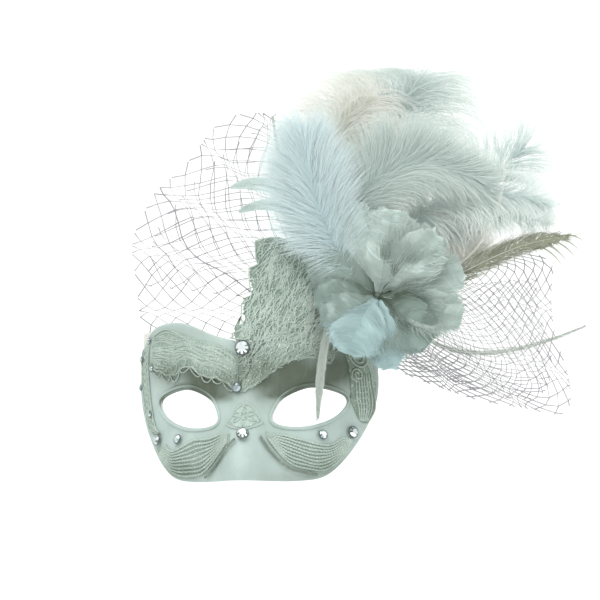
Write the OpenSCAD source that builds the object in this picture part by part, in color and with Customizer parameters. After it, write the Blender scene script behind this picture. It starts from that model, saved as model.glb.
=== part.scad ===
// Venetian half mask with lace, rhinestones, a stand-up lace crest, a flower of
// goose-feather petals, plumes and veiling.
// +Z is up and the mask faces -Y. The origin lies between the eyes, at eye height.
// X runs across the face. Left and right here mean -X and +X.

/* [Mask shell] */
// Width of the mask across the temples
mask_w = 171; // [160:1:182]
// Height of the mask, from the cheeks to the tops of the brows
mask_h = 114; // [106:1:122]
// How far the temples lie behind the forehead
wrap_depth = 50; // [42:1:56]
// How far the nose stands out at its tip
nose_out = 22; // [14:1:28]
// How deep the hollows round the eyes are
socket_depth = 6; // [3:0.5:8]
// Wall of the shell, from front to back
wall = 2.6; // [2:0.1:3.5]

/* [Lace] */
// Thickness of the stiffened lace
lace_t = 1.2; // [0.8:0.1:1.8]
// Gap that the glue fills between lace and shell
glue_gap = 0.3; // [0.1:0.1:0.5]
// Height of the lace crest's top above the eyes
crest_top = 117; // [100:1:125]
// Diameter of the cord that edges the nose
piping_d = 2.2; // [1.6:0.1:3]

/* [Rhinestones] */
// Diameter of the large stone on the forehead
brow_stone_d = 9.2; // [7:0.2:10]
// Diameter of the stones on the cheeks
cheek_stone_d = 6.8; // [5:0.2:8]
// Diameter of the small stones down the temple
temple_stone_d = 4.4; // [3:0.2:5]

/* [Flower] */
// Length of a petal from the binding to its tip
petal_len = 50; // [44:1:56]
// Diameter of the binding that gathers the petals
binding_d = 9; // [7:0.5:11]
// Diameter of the felt pad behind the flower
pad_d = 40; // [32:1:46]

/* [Feathers] */
// Thickness of a feather's vane
vane_t = 1.2; // [0.8:0.1:1.6]
// Width of the large plumes
plume_w = 44; // [36:1:50]
// Radius of a quill
quill_r = 0.9; // [0.6:0.1:1.2]

/* [Veiling] */
// Thickness of the space that the pleated net fills
veil_t = 1.6; // [1.2:0.1:2.4]
// Height of the pleats in the net
pleat_h = 3; // [1:0.5:4]

/* [Ribbons] */
// Width of the satin ribbon
ribbon_w = 16; // [12:1:20]
// Thickness of the satin ribbon
ribbon_t = 0.5; // [0.4:0.1:0.8]
// Diameter of the rolled ribbon
roll_d = 23; // [20:1:26]

/* [Hidden] */

shell_col = [0.93, 0.97, 0.95];
lace_col = [0.78, 0.83, 0.76];
piping_col = [0.45, 0.5, 0.45];
stone_col = [0.85, 0.92, 0.94];
petal_col = [0.78, 0.9, 0.9];
plume_col = [0.86, 0.93, 0.93];
beige_col = [0.85, 0.82, 0.72];
olive_col = [0.66, 0.66, 0.52];
net_col = [0.75, 0.72, 0.76];
satin_col = [0.92, 0.9, 0.83];
felt_col = [0.9, 0.92, 0.9];

// The outline and places on the mask are drawn for this nominal size, then scaled.
nominal_w = 171;
nominal_h = 114;
kx = mask_w / nominal_w;
kz = mask_h / nominal_h;
nominal_half = nominal_w / 2;
forehead_y = -32;
eye_x = 42;
eye_z = -3;
// How high the crest leaves the shell, by distance from the middle line.
crest_root = [[0, 41], [22, 47], [44, 57], [62, 59], [76, 55], [84, 50]];

// Half of the outline, from the top of the middle line, round the temple, to the bottom.
outline = [
    [0, 41], [22, 47], [44, 57], [62, 59], [76, 55], [83, 42], [85.5, 25], [85, 8],
    [81, -8], [74, -24], [64, -40], [52, -51], [36, -54], [18, -54.5], [0, -55]
];
// The eye hole: the inner corner lies low and the outer corner high.
eye_hole = [
    [17, -14], [24, 2], [40, 11.5], [55, 11], [67, 5], [60, -8], [44, -16], [28, -17],
    [17, -14]
];

// ---- curves and surfaces ----

function clamp01(t) = max(0, min(1, t));
function smooth(t) = let(u = clamp01(t)) u * u * (3 - 2 * u);
function lerp(a, b, t) = a + (b - a) * t;
function unit(v) = v / norm(v);
function bump(x, z, cx, cz, rx, rz) = exp(-pow((x - cx) / rx, 2) - pow((z - cz) / rz, 2));

// A smooth curve through the points p, with s from 0 to 1.
function through(p, s) =
    let(n = len(p) - 1, i = min(floor(s * n), n - 1), t = s * n - i)
    let(a = p[max(i - 1, 0)], b = p[i], c = p[i + 1], d = p[min(i + 2, n)])
    0.5 * (2 * b + (c - a) * t + (2 * a - 5 * b + 4 * c - d) * t * t
        + (3 * b - a - 3 * c + d) * t * t * t);

// A cubic Bezier curve and its direction.
function bez(p, t) =
    pow(1 - t, 3) * p[0] + 3 * pow(1 - t, 2) * t * p[1]
    + 3 * (1 - t) * t * t * p[2] + pow(t, 3) * p[3];
function bez_dir(p, t) =
    unit(pow(1 - t, 2) * (p[1] - p[0]) + 2 * (1 - t) * t * (p[2] - p[1])
        + t * t * (p[3] - p[2]));

// The shell's front surface: how far back it lies at a place across and up.
function face_y(x, z) =
    let(u = abs(x) / kx, v = z / kz)
    forehead_y + wrap_depth * pow(u / nominal_half, 2.2)
    - nose_out * smooth((12 - v) / 60) * exp(-pow(u / 15, 2.6))
    + socket_depth * bump(u, v, 42, 4, 26, 17)
    - 4 * bump(u, v, 42, 36, 32, 13)
    - 4 * bump(u, v, 46, -34, 20, 13);

// A place on the mask, given at the nominal size.
function on_mask(p) = [p[0] * kx, p[1] * kz];
// The same place as a point in space, lift in front of the shell.
function mask_point(p, lift) =
    let(q = on_mask(p)) [q[0], face_y(q[0], q[1]) - lift, q[1]];

// The crest lies on the shell's brow, then stands up as a flat leaf that leans back a little.
crest_slope_x = 0.22;
crest_slope_z = 0.1;
function crest_y(x, z) =
    let(root = lookup(abs(x), crest_root))
    let(low = face_y(min(abs(x), 84), min(z, root)) - glue_gap)
    let(flat = -24 + crest_slope_x * x + crest_slope_z * (z - 44))
    lerp(low, flat, smooth((z - root) / 26));

// ---- solids ----

// A closed solid through rings of points. Point j of a ring faces point k - 1 - j.
module skin(rings) {
    n = len(rings);
    k = len(rings[0]);
    sides = [
        for (i = [0:n - 2], j = [0:k - 1])
            let(a = i * k + j, b = i * k + (j + 1) % k)
            each [[a, b + k, b], [a, a + k, b + k]]
    ];
    first = [
        for (j = [0:k / 2 - 2])
            each [[j, j + 1, k - 2 - j], [j, k - 2 - j, k - 1 - j]]
    ];
    last = [for (f = first) [for (m = [2:-1:0]) f[m] + (n - 1) * k]];
    polyhedron([for (r = rings) each r], concat(sides, first, last));
}

// Where the ray from c at the angle a meets the closed line p.
function ray_hit(p, c, a) =
    let(d = [cos(a), sin(a)])
    let(hits = [
        for (i = [0:len(p) - 2])
            let(e = p[i + 1] - p[i], w = p[i] - c)
            let(den = d[0] * e[1] - d[1] * e[0])
            if (abs(den) > 1e-9)
                let(t = (w[0] * e[1] - w[1] * e[0]) / den)
                let(s = (w[0] * d[1] - w[1] * d[0]) / den)
                if (t > 0 && s >= -1e-6 && s <= 1 + 1e-6) t
    ])
    c + d * max(hits);

// Half of the shell: a grid of rays from the eye hole's rim out to the edge.
hub = [eye_x, eye_z];
top_angle = atan2(outline[0][1] - eye_z, -eye_x);
bottom_angle = 360 + atan2(outline[len(outline) - 1][1] - eye_z, -eye_x);
mid_steps = 16;
edge_steps = 44;
rays = mid_steps + edge_steps;
ray_angles = concat(
    [for (i = [0:mid_steps - 1]) lerp(top_angle, bottom_angle, i / mid_steps)],
    [for (i = [0:edge_steps - 1]) lerp(bottom_angle, top_angle + 360, i / edge_steps)]
);
rounds = 10;
outline_samples = 84;
hole_samples = 48;
smooth_outline = concat(
    [for (i = [0:outline_samples]) through(outline, i / outline_samples)],
    [outline[0]]
);
smooth_hole = [for (i = [0:hole_samples]) through(eye_hole, i / hole_samples)];
rim_points = [for (a = ray_angles) ray_hit(smooth_hole, hub, a)];
edge_points = [for (a = ray_angles) ray_hit(smooth_outline, hub, a)];

function shell_point(i, j, back) =
    let(p = lerp(rim_points[i], edge_points[i], j / rounds))
    let(q = abs(p[0]) < 0.001 ? [0, p[1]] : p)
    mask_point(q, back ? -wall : 0);

module half_shell(side) {
    points = [
        for (back = [false, true], i = [0:rays - 1], j = [0:rounds])
            let(p = shell_point(i, j, back)) [side * p[0], p[1], p[2]]
    ];
    w = rounds + 1;
    b = rays * w;
    grid = [
        for (i = [0:rays - 1], j = [0:rounds - 1])
            let(p = i * w + j, q = ((i + 1) % rays) * w + j)
            each [
                [p, p + 1, q], [q, p + 1, q + 1],
                [b + p, b + q, b + p + 1], [b + q, b + q + 1, b + p + 1]
            ]
    ];
    // The rim of the eye hole, then the outer edge, with the middle line closed too.
    walls = [
        for (i = [0:rays - 1])
            let(p = i * w, q = ((i + 1) % rays) * w)
            each [
                [p, q, b + p], [q, b + q, b + p],
                [p + rounds, b + p + rounds, q + rounds],
                [q + rounds, b + p + rounds, b + q + rounds]
            ]
    ];
    faces = concat(grid, walls);
    turned = side > 0 ? faces : [for (f = faces) [f[2], f[1], f[0]]];
    polyhedron(points, turned);
}

// A leaf between two lines on the mask, front and back, following a surface.
module leaf(low, high, columns, rows, front, back) {
    skin([
        for (i = [0:columns])
            let(a = through(low, i / columns), c = through(high, i / columns))
            concat(
                [for (j = [0:rows]) surface_point(lerp(a, c, j / rows), front)],
                [for (j = [rows:-1:0]) surface_point(lerp(a, c, j / rows), back)]
            )
    ]);
}
function surface_point(p, lift) = mask_point(p, lift);

module mask_leaf(low, high, columns = 18, rows = 4) {
    color(lace_col) leaf(low, high, columns, rows, glue_gap + lace_t, glue_gap);
}

// A strip of lace down one side of the mask, half its width to each side of a line.
module mask_strip(path, half, columns = 20) {
    color(lace_col) leaf(
        [for (p = path) [p[0] - half, p[1]]],
        [for (p = path) [p[0] + half, p[1]]],
        columns, 2, glue_gap + lace_t, glue_gap
    );
}

// A round cord laid on the mask along a line.
module mask_cord(path, d, columns = 20) {
    sides = 8;
    color(piping_col) skin([
        for (i = [0:columns])
            let(c = mask_point(through(path, i / columns), glue_gap + lace_t + d / 2))
            [for (k = [0:sides - 1])
                let(a = 360 * (k + 0.5) / sides)
                c + d / 2 * [cos(a), sin(a), 0.25 * sin(a)]]
    ]);
}

// A flat-backed rhinestone with a cut crown, seated square to the shell.
module rhinestone(p, d) {
    step = 0.5;
    lift = glue_gap + lace_t + 0.1;
    c = mask_point(p, lift);
    across = mask_point([p[0] + step, p[1]], lift) - mask_point([p[0] - step, p[1]], lift);
    up = mask_point([p[0], p[1] + step], lift) - mask_point([p[0], p[1] - step], lift);
    out = unit(cross(across, up));
    tilt = acos(-out[2]);
    turn = atan2(-out[1], -out[0]);
    color(stone_col) translate(c) rotate([0, tilt, turn]) mirror([0, 0, 1]) {
        cylinder(h = 0.12 * d, d = d, $fn = 32);
        translate([0, 0, 0.12 * d]) cylinder(h = 0.24 * d, d1 = d, d2 = 0.55 * d, $fn = 32);
    }
}

// How wide a vane is along its length: 0 is where it leaves the bare quill, 1 its tip.
function plume_shape(u) = pow(sin(180 * pow(u, 0.75)), 0.6);
function petal_shape(u) = pow(sin(172 * pow(u, 0.85)), 0.5);
function blade_shape(u) = 1.25 * pow(u, 0.35) * pow(1 - u, 0.55);
function biot_shape(u) = u < 0.72 ? 0.8 + 0.28 * u : pow(1 - pow((u - 0.72) / 0.28, 1.5), 0.8);
function vane_shape(kind, u) =
    kind == "plume" ? plume_shape(u) : kind == "petal" ? petal_shape(u)
        : kind == "biot" ? biot_shape(u) : blade_shape(u);

// A feather: a vane along a curve, flat across it, with its face turned to face.
// cup bends both edges towards the face, and bare is the share that is plain quill.
module feather(curve, half, kind, face = [0, -1, 0], cup = 0, bare = 0.12) {
    steps = 12;
    across = [-1, -0.4, 0.4, 1];
    skin([
        for (i = [0:steps])
            let(t = i / steps, c = bez(curve, t), d = bez_dir(curve, t))
            let(s = unit(cross(d, face)), n = unit(cross(s, d)))
            let(u = clamp01((t - bare) / (1 - bare)))
            let(w = max(quill_r, half * vane_shape(kind, u)))
            let(h = max(vane_t / 2, u > 0 ? 0 : quill_r))
            let(bend = cup * pow(w / half, 2))
            concat(
                [for (k = across) c + w * k * s
                    + n * (bend * k * k + h * (1.2 - abs(k)))],
                [for (m = [3:-1:0]) let(k = across[m]) c + w * k * s
                    + n * (bend * k * k - h * (1.2 - abs(k)))]
            )
    ]);
}

// ---- the mask ----

module mask_shell() {
    color(shell_col) union() {
        half_shell(1);
        half_shell(-1);
    }
}
module brow_lace_left() {
    mask_leaf(
        [[-76, 30], [-66, 25], [-54, 21], [-42, 27], [-30, 19], [-17, 16], [-4, 6]],
        [[-72, 51], [-62, 54], [-50, 51], [-40, 47], [-30, 43], [-18, 40], [-4, 31]]
    );
}
module brow_lace_right() {
    mask_leaf(
        [[-3, 6], [7, 11], [17, 19], [29, 27.5], [44, 31], [58, 27]],
        [[-3, 30], [7, 33], [15, 40], [27, 44.5], [43, 52], [60, 53.5]]
    );
}
module bridge_lace() {
    mask_leaf(
        [[-12, -16], [-6, -19], [2, -20], [9, -18], [14, -15]],
        [[-10, -12], [-5, -4], [2, 0], [8, -4], [12, -11]], 10, 3
    );
}
module temple_lace_left() {
    mask_strip([[-79, 44], [-80, 30], [-79, 15], [-77, 0], [-73, -13], [-68, -19]], 3.4);
}
module temple_lace_right() {
    mask_strip([[69, 44], [74, 31], [76, 15], [75, 0], [71, -12.5]], 7.5);
}
module cheek_fan_left() {
    mask_leaf(
        [[-68, -29], [-61, -40], [-52, -47.5], [-42, -50.8], [-30.8, -49.6], [-18.8, -39.6],
            [-7.4, -27.6]],
        [[-60, -27], [-54, -32], [-46, -29], [-36, -25], [-26, -24], [-16.5, -22.6], [-7.6, -22]],
        18, 3
    );
}
module cheek_fan_right() {
    mask_leaf(
        [[15.9, -25], [24, -36.1], [32.7, -43.5], [42.8, -46.6], [53, -46.4], [63, -38], [71, -25]],
        [[15, -20.5], [21, -22], [29, -23], [38, -25], [47, -28], [57, -28], [64, -23]],
        18, 3
    );
}
module nose_piping_left() {
    mask_cord([[-3, -26], [-10, -33.5], [-17, -41.2], [-23, -47.2], [-28, -51.6]], piping_d);
}
module nose_piping_right() {
    mask_cord([[13, -24], [21, -36.5], [31.5, -45.5], [41, -48.2], [49, -49.6]], piping_d);
}

// ---- rhinestones ----

temple_places = [[-76, 48], [-83, 36], [-73, 28], [-84, 16], [-75, -4]];
module brow_stone() { rhinestone([-1, 37], brow_stone_d); }
module bridge_stone() { rhinestone([-5, 10], 0.92 * cheek_stone_d); }
module nose_stone() { rhinestone([2, -23], 1.15 * cheek_stone_d); }
module temple_stones() {
    for (p = temple_places) rhinestone(p, temple_stone_d);
}
module cheek_stones_left() {
    rhinestone([-67, -23], 1.08 * cheek_stone_d);
    rhinestone([-49, -24], 0.9 * cheek_stone_d);
}
module cheek_stones_right() {
    rhinestone([52, -22], 0.9 * cheek_stone_d);
    rhinestone([70, -19], 1.1 * cheek_stone_d);
}

// ---- the crest and what carries the flower ----

crest_low = [
    [-4, 43], [4, 42.4], [13, 41.6], [26, 46], [42, 53.8], [60, 56.5], [76, 53], [87, 48]
];
crest_high = [
    [9, 0.97 * crest_top], [14, crest_top], [21, crest_top], [32, 0.96 * crest_top],
    [46, 0.89 * crest_top], [64, 0.8 * crest_top], [80, 0.7 * crest_top], [91, 0.52 * crest_top]
];
function crest_point(p, lift) = [p[0], crest_y(p[0], p[1]) - lift, p[1]];
module lace_crest() {
    columns = 16;
    rows = 6;
    color(lace_col) skin([
        for (i = [0:columns])
            let(a = through(crest_low, i / columns), c = through(crest_high, i / columns))
            concat(
                [for (j = [0:rows]) crest_point(lerp(a, c, j / rows), lace_t)],
                [for (j = [rows:-1:0]) crest_point(lerp(a, c, j / rows), 0)]
            )
    ]);
}

// The flower stands on the crest at this place, its axis towards the front.
flower_x = 90;
flower_z = 74;
flower_y = -12;
pad_t = 2;
pad_lean = atan(crest_slope_x);
pad_gap = 1.6;
module felt_pad() {
    color(felt_col)
        translate([flower_x, crest_y(flower_x, flower_z) - lace_t - pad_gap, flower_z])
            rotate([90, 0, pad_lean]) cylinder(h = pad_t, d = pad_d, $fn = 48);
}
module stem_binding() {
    binding_l = 8;
    color(petal_col) translate([flower_x, flower_y + 3, flower_z])
        rotate([90, 0, 0]) cylinder(h = binding_l, d1 = binding_d, d2 = 0.6 * binding_d, $fn = 36);
}

// ---- the flower's petals ----

// A petal leaves the binding at an angle, rises towards the front and droops at its tip.
module petal(angle, reach, half, lift, droop = 0, cup = -5, layer = 0) {
    out = [cos(angle), 0, sin(angle)];
    root = [flower_x, flower_y - layer, flower_z] + 4.5 * out;
    l = petal_len * reach;
    tip = root + l * out + [0, -lift + droop, 0];
    color(petal_col) feather(
        [root, root + 0.3 * l * out + [0, -lift, 0],
            root + 0.75 * l * out + [0, -1.25 * lift, 0], tip],
        half, "petal", [0, -1, 0], cup, 0.06
    );
}
module petal_lower_left() { petal(247, 0.84, 18, 20, 2, -6, 7); }
module petal_bottom() { petal(281, 0.98, 12, 14, 0, -5, 3); }
module petal_lower_right() { petal(316, 0.92, 17, 10, 2, 6, 1); }
module petal_right() { petal(343, 1.14, 14, 8, 2, 4, 3); }
module petal_upper_right() { petal(14, 1.14, 14, 7, 2, 4, 0); }
module petal_top_right() { petal(44, 1.08, 14, 8, 3, 4, 2); }
module petal_top() { petal(78, 1.1, 15, 9, 2, -4, 4); }
module petal_top_left() { petal(108, 1.24, 12, 10, 2, -4, 1); }
module petal_left() { petal(146, 0.98, 14, 10, 3, -4, 2); }
module petal_left_low() { petal(184, 0.76, 12, 12, 3, -4, 4); }
module petal_inner_left() { petal(214, 0.72, 13, 15, 2, -4, 5.5); }

// ---- plumes and trimming feathers ----

module plume_top() {
    color(plume_col) feather(
        [[88, 8, 92], [70, 14, 150], [84, 18, 195], [114, 22, 231]],
        0.5 * plume_w, "plume", [0, -1, 0], 0, 0.3
    );
}
module plume_back() {
    color(beige_col) feather(
        [[78, 6, 92], [48, 9, 146], [40, 11, 190], [80, 13, 217]],
        0.48 * plume_w, "plume", [0, -1, 0], 0, 0.25
    );
}
module plume_left() {
    color(plume_col) feather(
        [[76, -16, 84], [58, -20, 110], [44, -23, 138], [39, -16, 186]],
        0.52 * plume_w, "plume", [0.1, -1, 0], 4, 0.08
    );
}
module plume_centre() {
    color(plume_col) feather(
        [[82, -8, 90], [56, -13, 144], [96, -12, 184], [154, -8, 155]],
        0.46 * plume_w, "plume", [0, -1, 0.1], 3, 0.1
    );
}
module plume_right() {
    color(plume_col) feather(
        [[97, -2, 92], [106, -5, 138], [148, -3, 160], [206, 2, 137]],
        0.4 * plume_w, "plume", [0, -1, 0.1], 3, 0.14
    );
}
module plume_right_low() {
    color(plume_col) feather(
        [[102, 1, 92], [125, 2, 120], [160, 4, 139], [206, 8, 125]],
        0.25 * plume_w, "plume", [0, -1, 0], 2, 0.14
    );
}
module wisp_feather() {
    color(plume_col) feather(
        [[100, 6, 94], [131, 9, 133], [159, 12, 154], [190, 15, 180]],
        0.52 * plume_w, "plume", [0, -1, 0], 0, 0.3
    );
}
module fluff_tuft() {
    color(beige_col) feather(
        [[100, 3, 88], [110, 5, 119], [132, 6, 128], [154, 5, 108]],
        0.34 * plume_w, "plume", [0, -1, 0], 2, 0.1
    );
}
module hackle_olive() {
    color(olive_col) feather(
        [[112, -1, 74], [154, -3, 91], [182, -1, 113], [222, 4, 114]],
        7, "blade", [0, -1, 0.2], 1, 0.12
    );
}
module hackle_low() {
    color(plume_col) feather(
        [[106, 2, 60], [132, -2, 26], [176, 0, 28], [233, 6, 53]],
        4.5, "blade", [0, -1, 0], 0, 0.15
    );
}
module eye_biot() {
    color(petal_col) feather(
        [[70, -24, 80], [56, -29, 56], [52, -30, 28], [50, -27, -13]],
        3.1, "biot", [0, -1, 0], 0, 0.05
    );
}
module side_biot_upper() {
    color(petal_col) feather(
        [[52, -9, 130], [28, -11, 153], [6, -12, 160], [-15, -9, 154]],
        5.5, "blade", [0, -1, 0], 0, 0.2
    );
}
module side_biot_lower() {
    color(petal_col) feather(
        [[54, -5, 122], [28, -7, 144], [8, -8, 145], [-10, -6, 137]],
        4.5, "blade", [0, -1, 0], 0, 0.2
    );
}
module spike_biot() {
    color(petal_col) feather(
        [[36, -2, 118], [22, -1, 158], [17, 0, 180], [13, 1, 207]],
        2.4, "blade", [0, -1, 0], 0, 0.1
    );
}
module bare_quill() {
    color(beige_col) feather(
        [[118, 2, 80], [158, -12, 98], [176, -13, 116], [179, -11, 168]],
        1.4, "blade", [0, -1, 0], 0, 0.05
    );
}

// ---- veiling ----

// A pleated fan from a short gather line out to an edge.
module veil(gather, edge, near_y, far_y, pleats) {
    columns = 30;
    rows = 5;
    color(net_col) skin([
        for (i = [0:columns])
            let(s = i / columns, a = through(gather, s), c = through(edge, s))
            let(point = function(t, side)
                let(p = lerp(a, c, t))
                [p[0], lerp(near_y, far_y, t)
                    + pleat_h * t * sin(360 * pleats * s) + side * veil_t / 2, p[1]])
            concat(
                [for (j = [0:rows]) point(j / rows, -1)],
                [for (j = [rows:-1:0]) point(j / rows, 1)]
            )
    ]);
}
module veil_left() {
    veil(
        [[62, 60], [57, 75], [54, 90], [56, 105], [62, 118]],
        [[-72, 45], [-85, 60], [-90, 82], [-94, 110], [-92, 132], [-80, 156],
            [-58, 176], [-38, 202], [-14, 215], [14, 214]],
        13, 26, 4.5
    );
}
module veil_left_back() {
    veil(
        [[64, 70], [59, 80], [58, 92], [60, 104], [66, 114]],
        [[-86, 92], [-80, 124], [-64, 152], [-40, 176], [-14, 198], [16, 210], [46, 212]],
        18, 31, 3.5
    );
}
module veil_right() {
    veil(
        [[106, 62], [108, 69], [111, 76], [114, 83], [116, 90]],
        [[87, 31], [116, 18], [151, 5], [186, -2], [214, -7], [219, 14], [209, 50],
            [207, 75], [208, 98], [192, 108]],
        11, 21, 4.5
    );
}
module veil_right_back() {
    veil(
        [[108, 60], [111, 66], [114, 72], [116, 78], [118, 84]],
        [[104, 32], [136, 18], [172, 6], [200, 8], [206, 36], [198, 66], [196, 92]],
        16, 27, 3.5
    );
}

// ---- ribbons ----

// Each ribbon is glued inside the temple, leads back and is rolled up and tied.
ribbon_z = 48;
lead_path = [[72, 12.5], [78, 18], [84, 24], [87, 30], [86.5, 36]];
roll_x = 75.2;
roll_y = 37;
lead_steps = 16;
module ribbon(side) {
    line = [for (i = [0:lead_steps]) through(lead_path, i / lead_steps)];
    outer = [for (p = line) [side * p[0], p[1]]];
    inner = [for (i = [lead_steps:-1:0]) [side * (line[i][0] - ribbon_t), line[i][1] + ribbon_t]];
    color(satin_col) translate([0, 0, ribbon_z - ribbon_w / 2]) union() {
        linear_extrude(ribbon_w) polygon(concat(outer, inner));
        translate([side * roll_x, roll_y, 0]) cylinder(h = ribbon_w, d = roll_d, $fn = 48);
    }
}
module ribbon_left() { ribbon(-1); }
module ribbon_right() { ribbon(1); }

// A narrow band of thread holds each roll shut.
module ribbon_tie(side) {
    band_h = 3;
    band_t = 0.6;
    color(net_col) translate([side * roll_x, roll_y, ribbon_z - band_h / 2])
        difference() {
            cylinder(h = band_h, d = roll_d + 0.2 + 2 * band_t, $fn = 48);
            translate([0, 0, -1]) cylinder(h = band_h + 2, d = roll_d + 0.2, $fn = 48);
        }
}
module ribbon_tie_left() { ribbon_tie(-1); }
module ribbon_tie_right() { ribbon_tie(1); }

mask_shell();
brow_lace_left();
brow_lace_right();
lace_crest();
bridge_lace();
temple_lace_left();
temple_lace_right();
cheek_fan_left();
cheek_fan_right();
nose_piping_left();
nose_piping_right();
brow_stone();
bridge_stone();
nose_stone();
temple_stones();
cheek_stones_left();
cheek_stones_right();
felt_pad();
stem_binding();
petal_lower_left();
petal_bottom();
petal_lower_right();
petal_right();
petal_upper_right();
petal_top_right();
petal_top();
petal_top_left();
petal_left();
petal_left_low();
petal_inner_left();
plume_top();
plume_back();
plume_left();
plume_centre();
plume_right();
plume_right_low();
wisp_feather();
fluff_tuft();
hackle_olive();
hackle_low();
eye_biot();
side_biot_upper();
side_biot_lower();
spike_biot();
bare_quill();
veil_left();
veil_left_back();
veil_right();
veil_right_back();
ribbon_left();
ribbon_right();
ribbon_tie_left();
ribbon_tie_right();
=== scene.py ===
# %% [markdown]
# # A Venetian half mask with lace, a feather flower and veiling
# The CAD model fixes where every piece lies and how large it is. This script gives each piece its
# real surface: barbs on the feathers, threads in the lace and the net, facets on the stones.
# The first call loads that model, and every later measurement is read from it.

# %% Load the frame
import math
import random

import bmesh
import bpy
import numpy as np
from mathutils import Matrix, Vector, noise
from mathutils.bvhtree import BVHTree


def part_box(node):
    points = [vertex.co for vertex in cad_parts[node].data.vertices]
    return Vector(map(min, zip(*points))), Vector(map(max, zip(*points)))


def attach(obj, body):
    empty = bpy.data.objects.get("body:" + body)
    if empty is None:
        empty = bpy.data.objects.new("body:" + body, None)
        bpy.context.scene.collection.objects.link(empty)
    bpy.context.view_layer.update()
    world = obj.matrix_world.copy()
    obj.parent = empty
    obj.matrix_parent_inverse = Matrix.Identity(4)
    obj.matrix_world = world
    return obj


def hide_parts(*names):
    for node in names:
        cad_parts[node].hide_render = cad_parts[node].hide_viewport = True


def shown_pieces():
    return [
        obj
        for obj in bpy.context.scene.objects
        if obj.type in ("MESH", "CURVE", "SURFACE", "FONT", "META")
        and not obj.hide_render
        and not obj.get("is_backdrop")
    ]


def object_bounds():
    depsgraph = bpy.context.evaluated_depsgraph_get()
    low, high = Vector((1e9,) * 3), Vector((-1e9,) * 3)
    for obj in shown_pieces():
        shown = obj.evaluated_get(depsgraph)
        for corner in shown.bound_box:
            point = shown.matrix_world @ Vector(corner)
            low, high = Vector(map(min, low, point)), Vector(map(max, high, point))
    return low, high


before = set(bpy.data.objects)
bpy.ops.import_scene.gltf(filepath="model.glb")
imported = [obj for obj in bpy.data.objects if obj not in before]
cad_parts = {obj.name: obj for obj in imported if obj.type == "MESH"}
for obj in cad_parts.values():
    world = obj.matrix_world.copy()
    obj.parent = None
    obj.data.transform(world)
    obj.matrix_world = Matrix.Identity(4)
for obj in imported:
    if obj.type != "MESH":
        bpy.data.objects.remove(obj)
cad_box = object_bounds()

MM = 0.001
BODY = "root"
print("CAD nodes:", len(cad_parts), "box:", cad_box)

# %% [markdown]
# ## Camera, floor and light
# A mask like this is looked at from a little to its right and a little below, at the distance of a
# long lens, so that the nose doesn't swell. The frame is placed round the whole object: the plumes
# and the net reach much further than the mask, so the aim point lies up and to the right.

# %% Camera
VIEW_AZIMUTH = math.radians(10)
VIEW_ELEVATION = math.radians(-8)
VIEW_DISTANCE = 1.6
FRAME_WIDTH = 0.420
AIM = Vector((0.033, 0.0, 0.0742))


def linked(name, data):
    """A new object in the scene, at the origin."""
    obj = bpy.data.objects.new(name, data)
    bpy.context.scene.collection.objects.link(obj)
    return obj


camera_data = bpy.data.cameras.new("camera")
camera = linked("camera", camera_data)
away = Vector((
    math.sin(VIEW_AZIMUTH) * math.cos(VIEW_ELEVATION),
    -math.cos(VIEW_AZIMUTH) * math.cos(VIEW_ELEVATION),
    math.sin(VIEW_ELEVATION),
))
camera.location = AIM + away * VIEW_DISTANCE
camera.rotation_euler = away.to_track_quat("Z", "Y").to_euler()
camera_data.sensor_width = 36
camera_data.lens = camera_data.sensor_width * VIEW_DISTANCE / FRAME_WIDTH
camera_data.clip_start = 0.05
bpy.context.scene.camera = camera
print("camera at", tuple(round(v, 3) for v in camera.location))

# %% [markdown]
# The floor is a plain sweep: flat below the mask, curved up behind it. It is made by extruding one
# line and bevelling its bend. It lies well below the mask, which is held up at the face.

# %% Floor
FLOOR_Z = -0.42
SWEEP_HALF = 4.0
SWEEP_BACK = 1.6
SWEEP_BEND = 0.9


def verts_of(geometry):
    return [g for g in geometry if isinstance(g, bmesh.types.BMVert)]


def finished(name, bm, materials, smooth=True):
    """A new object from a bmesh, with its materials."""
    mesh = bpy.data.meshes.new(name)
    for face in bm.faces:
        face.smooth = smooth
    bm.to_mesh(mesh)
    bm.free()
    for material in materials:
        mesh.materials.append(material)
    return linked(name, mesh)


bm = bmesh.new()
front = bm.verts.new((-SWEEP_HALF, -SWEEP_HALF, FLOOR_Z))
back = bm.verts.new((-SWEEP_HALF, SWEEP_BACK, FLOOR_Z))
top = bm.verts.new((-SWEEP_HALF, SWEEP_BACK, FLOOR_Z + SWEEP_HALF))
line = [bm.edges.new((front, back)), bm.edges.new((back, top))]
wide = bmesh.ops.extrude_edge_only(bm, edges=line)["geom"]
bmesh.ops.translate(bm, verts=verts_of(wide), vec=(2 * SWEEP_HALF, 0, 0))
bend = [
    e for e in bm.edges
    if all(abs(v.co.y - SWEEP_BACK) < 1e-6 and abs(v.co.z - FLOOR_Z) < 1e-6 for v in e.verts)
]
bmesh.ops.bevel(
    bm, geom=bend, offset=SWEEP_BEND, segments=16, profile=0.5, affect="EDGES", material=-1,
)
floor_material = bpy.data.materials.new("floor")
floor_material.use_nodes = True
floor_shader = floor_material.node_tree.nodes["Principled BSDF"]
floor_shader.inputs["Base Color"].default_value = (0.93, 0.94, 0.93, 1)
floor_shader.inputs["Roughness"].default_value = 0.9
floor_shader.inputs["Specular IOR Level"].default_value = 0.1
floor = finished("floor", bm, [floor_material])
floor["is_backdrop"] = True

# %% [markdown]
# Soft studio light: a large panel high in front, a weaker one from the right, and one on the
# backdrop to keep it pale. A white world fills the shadows.

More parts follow.
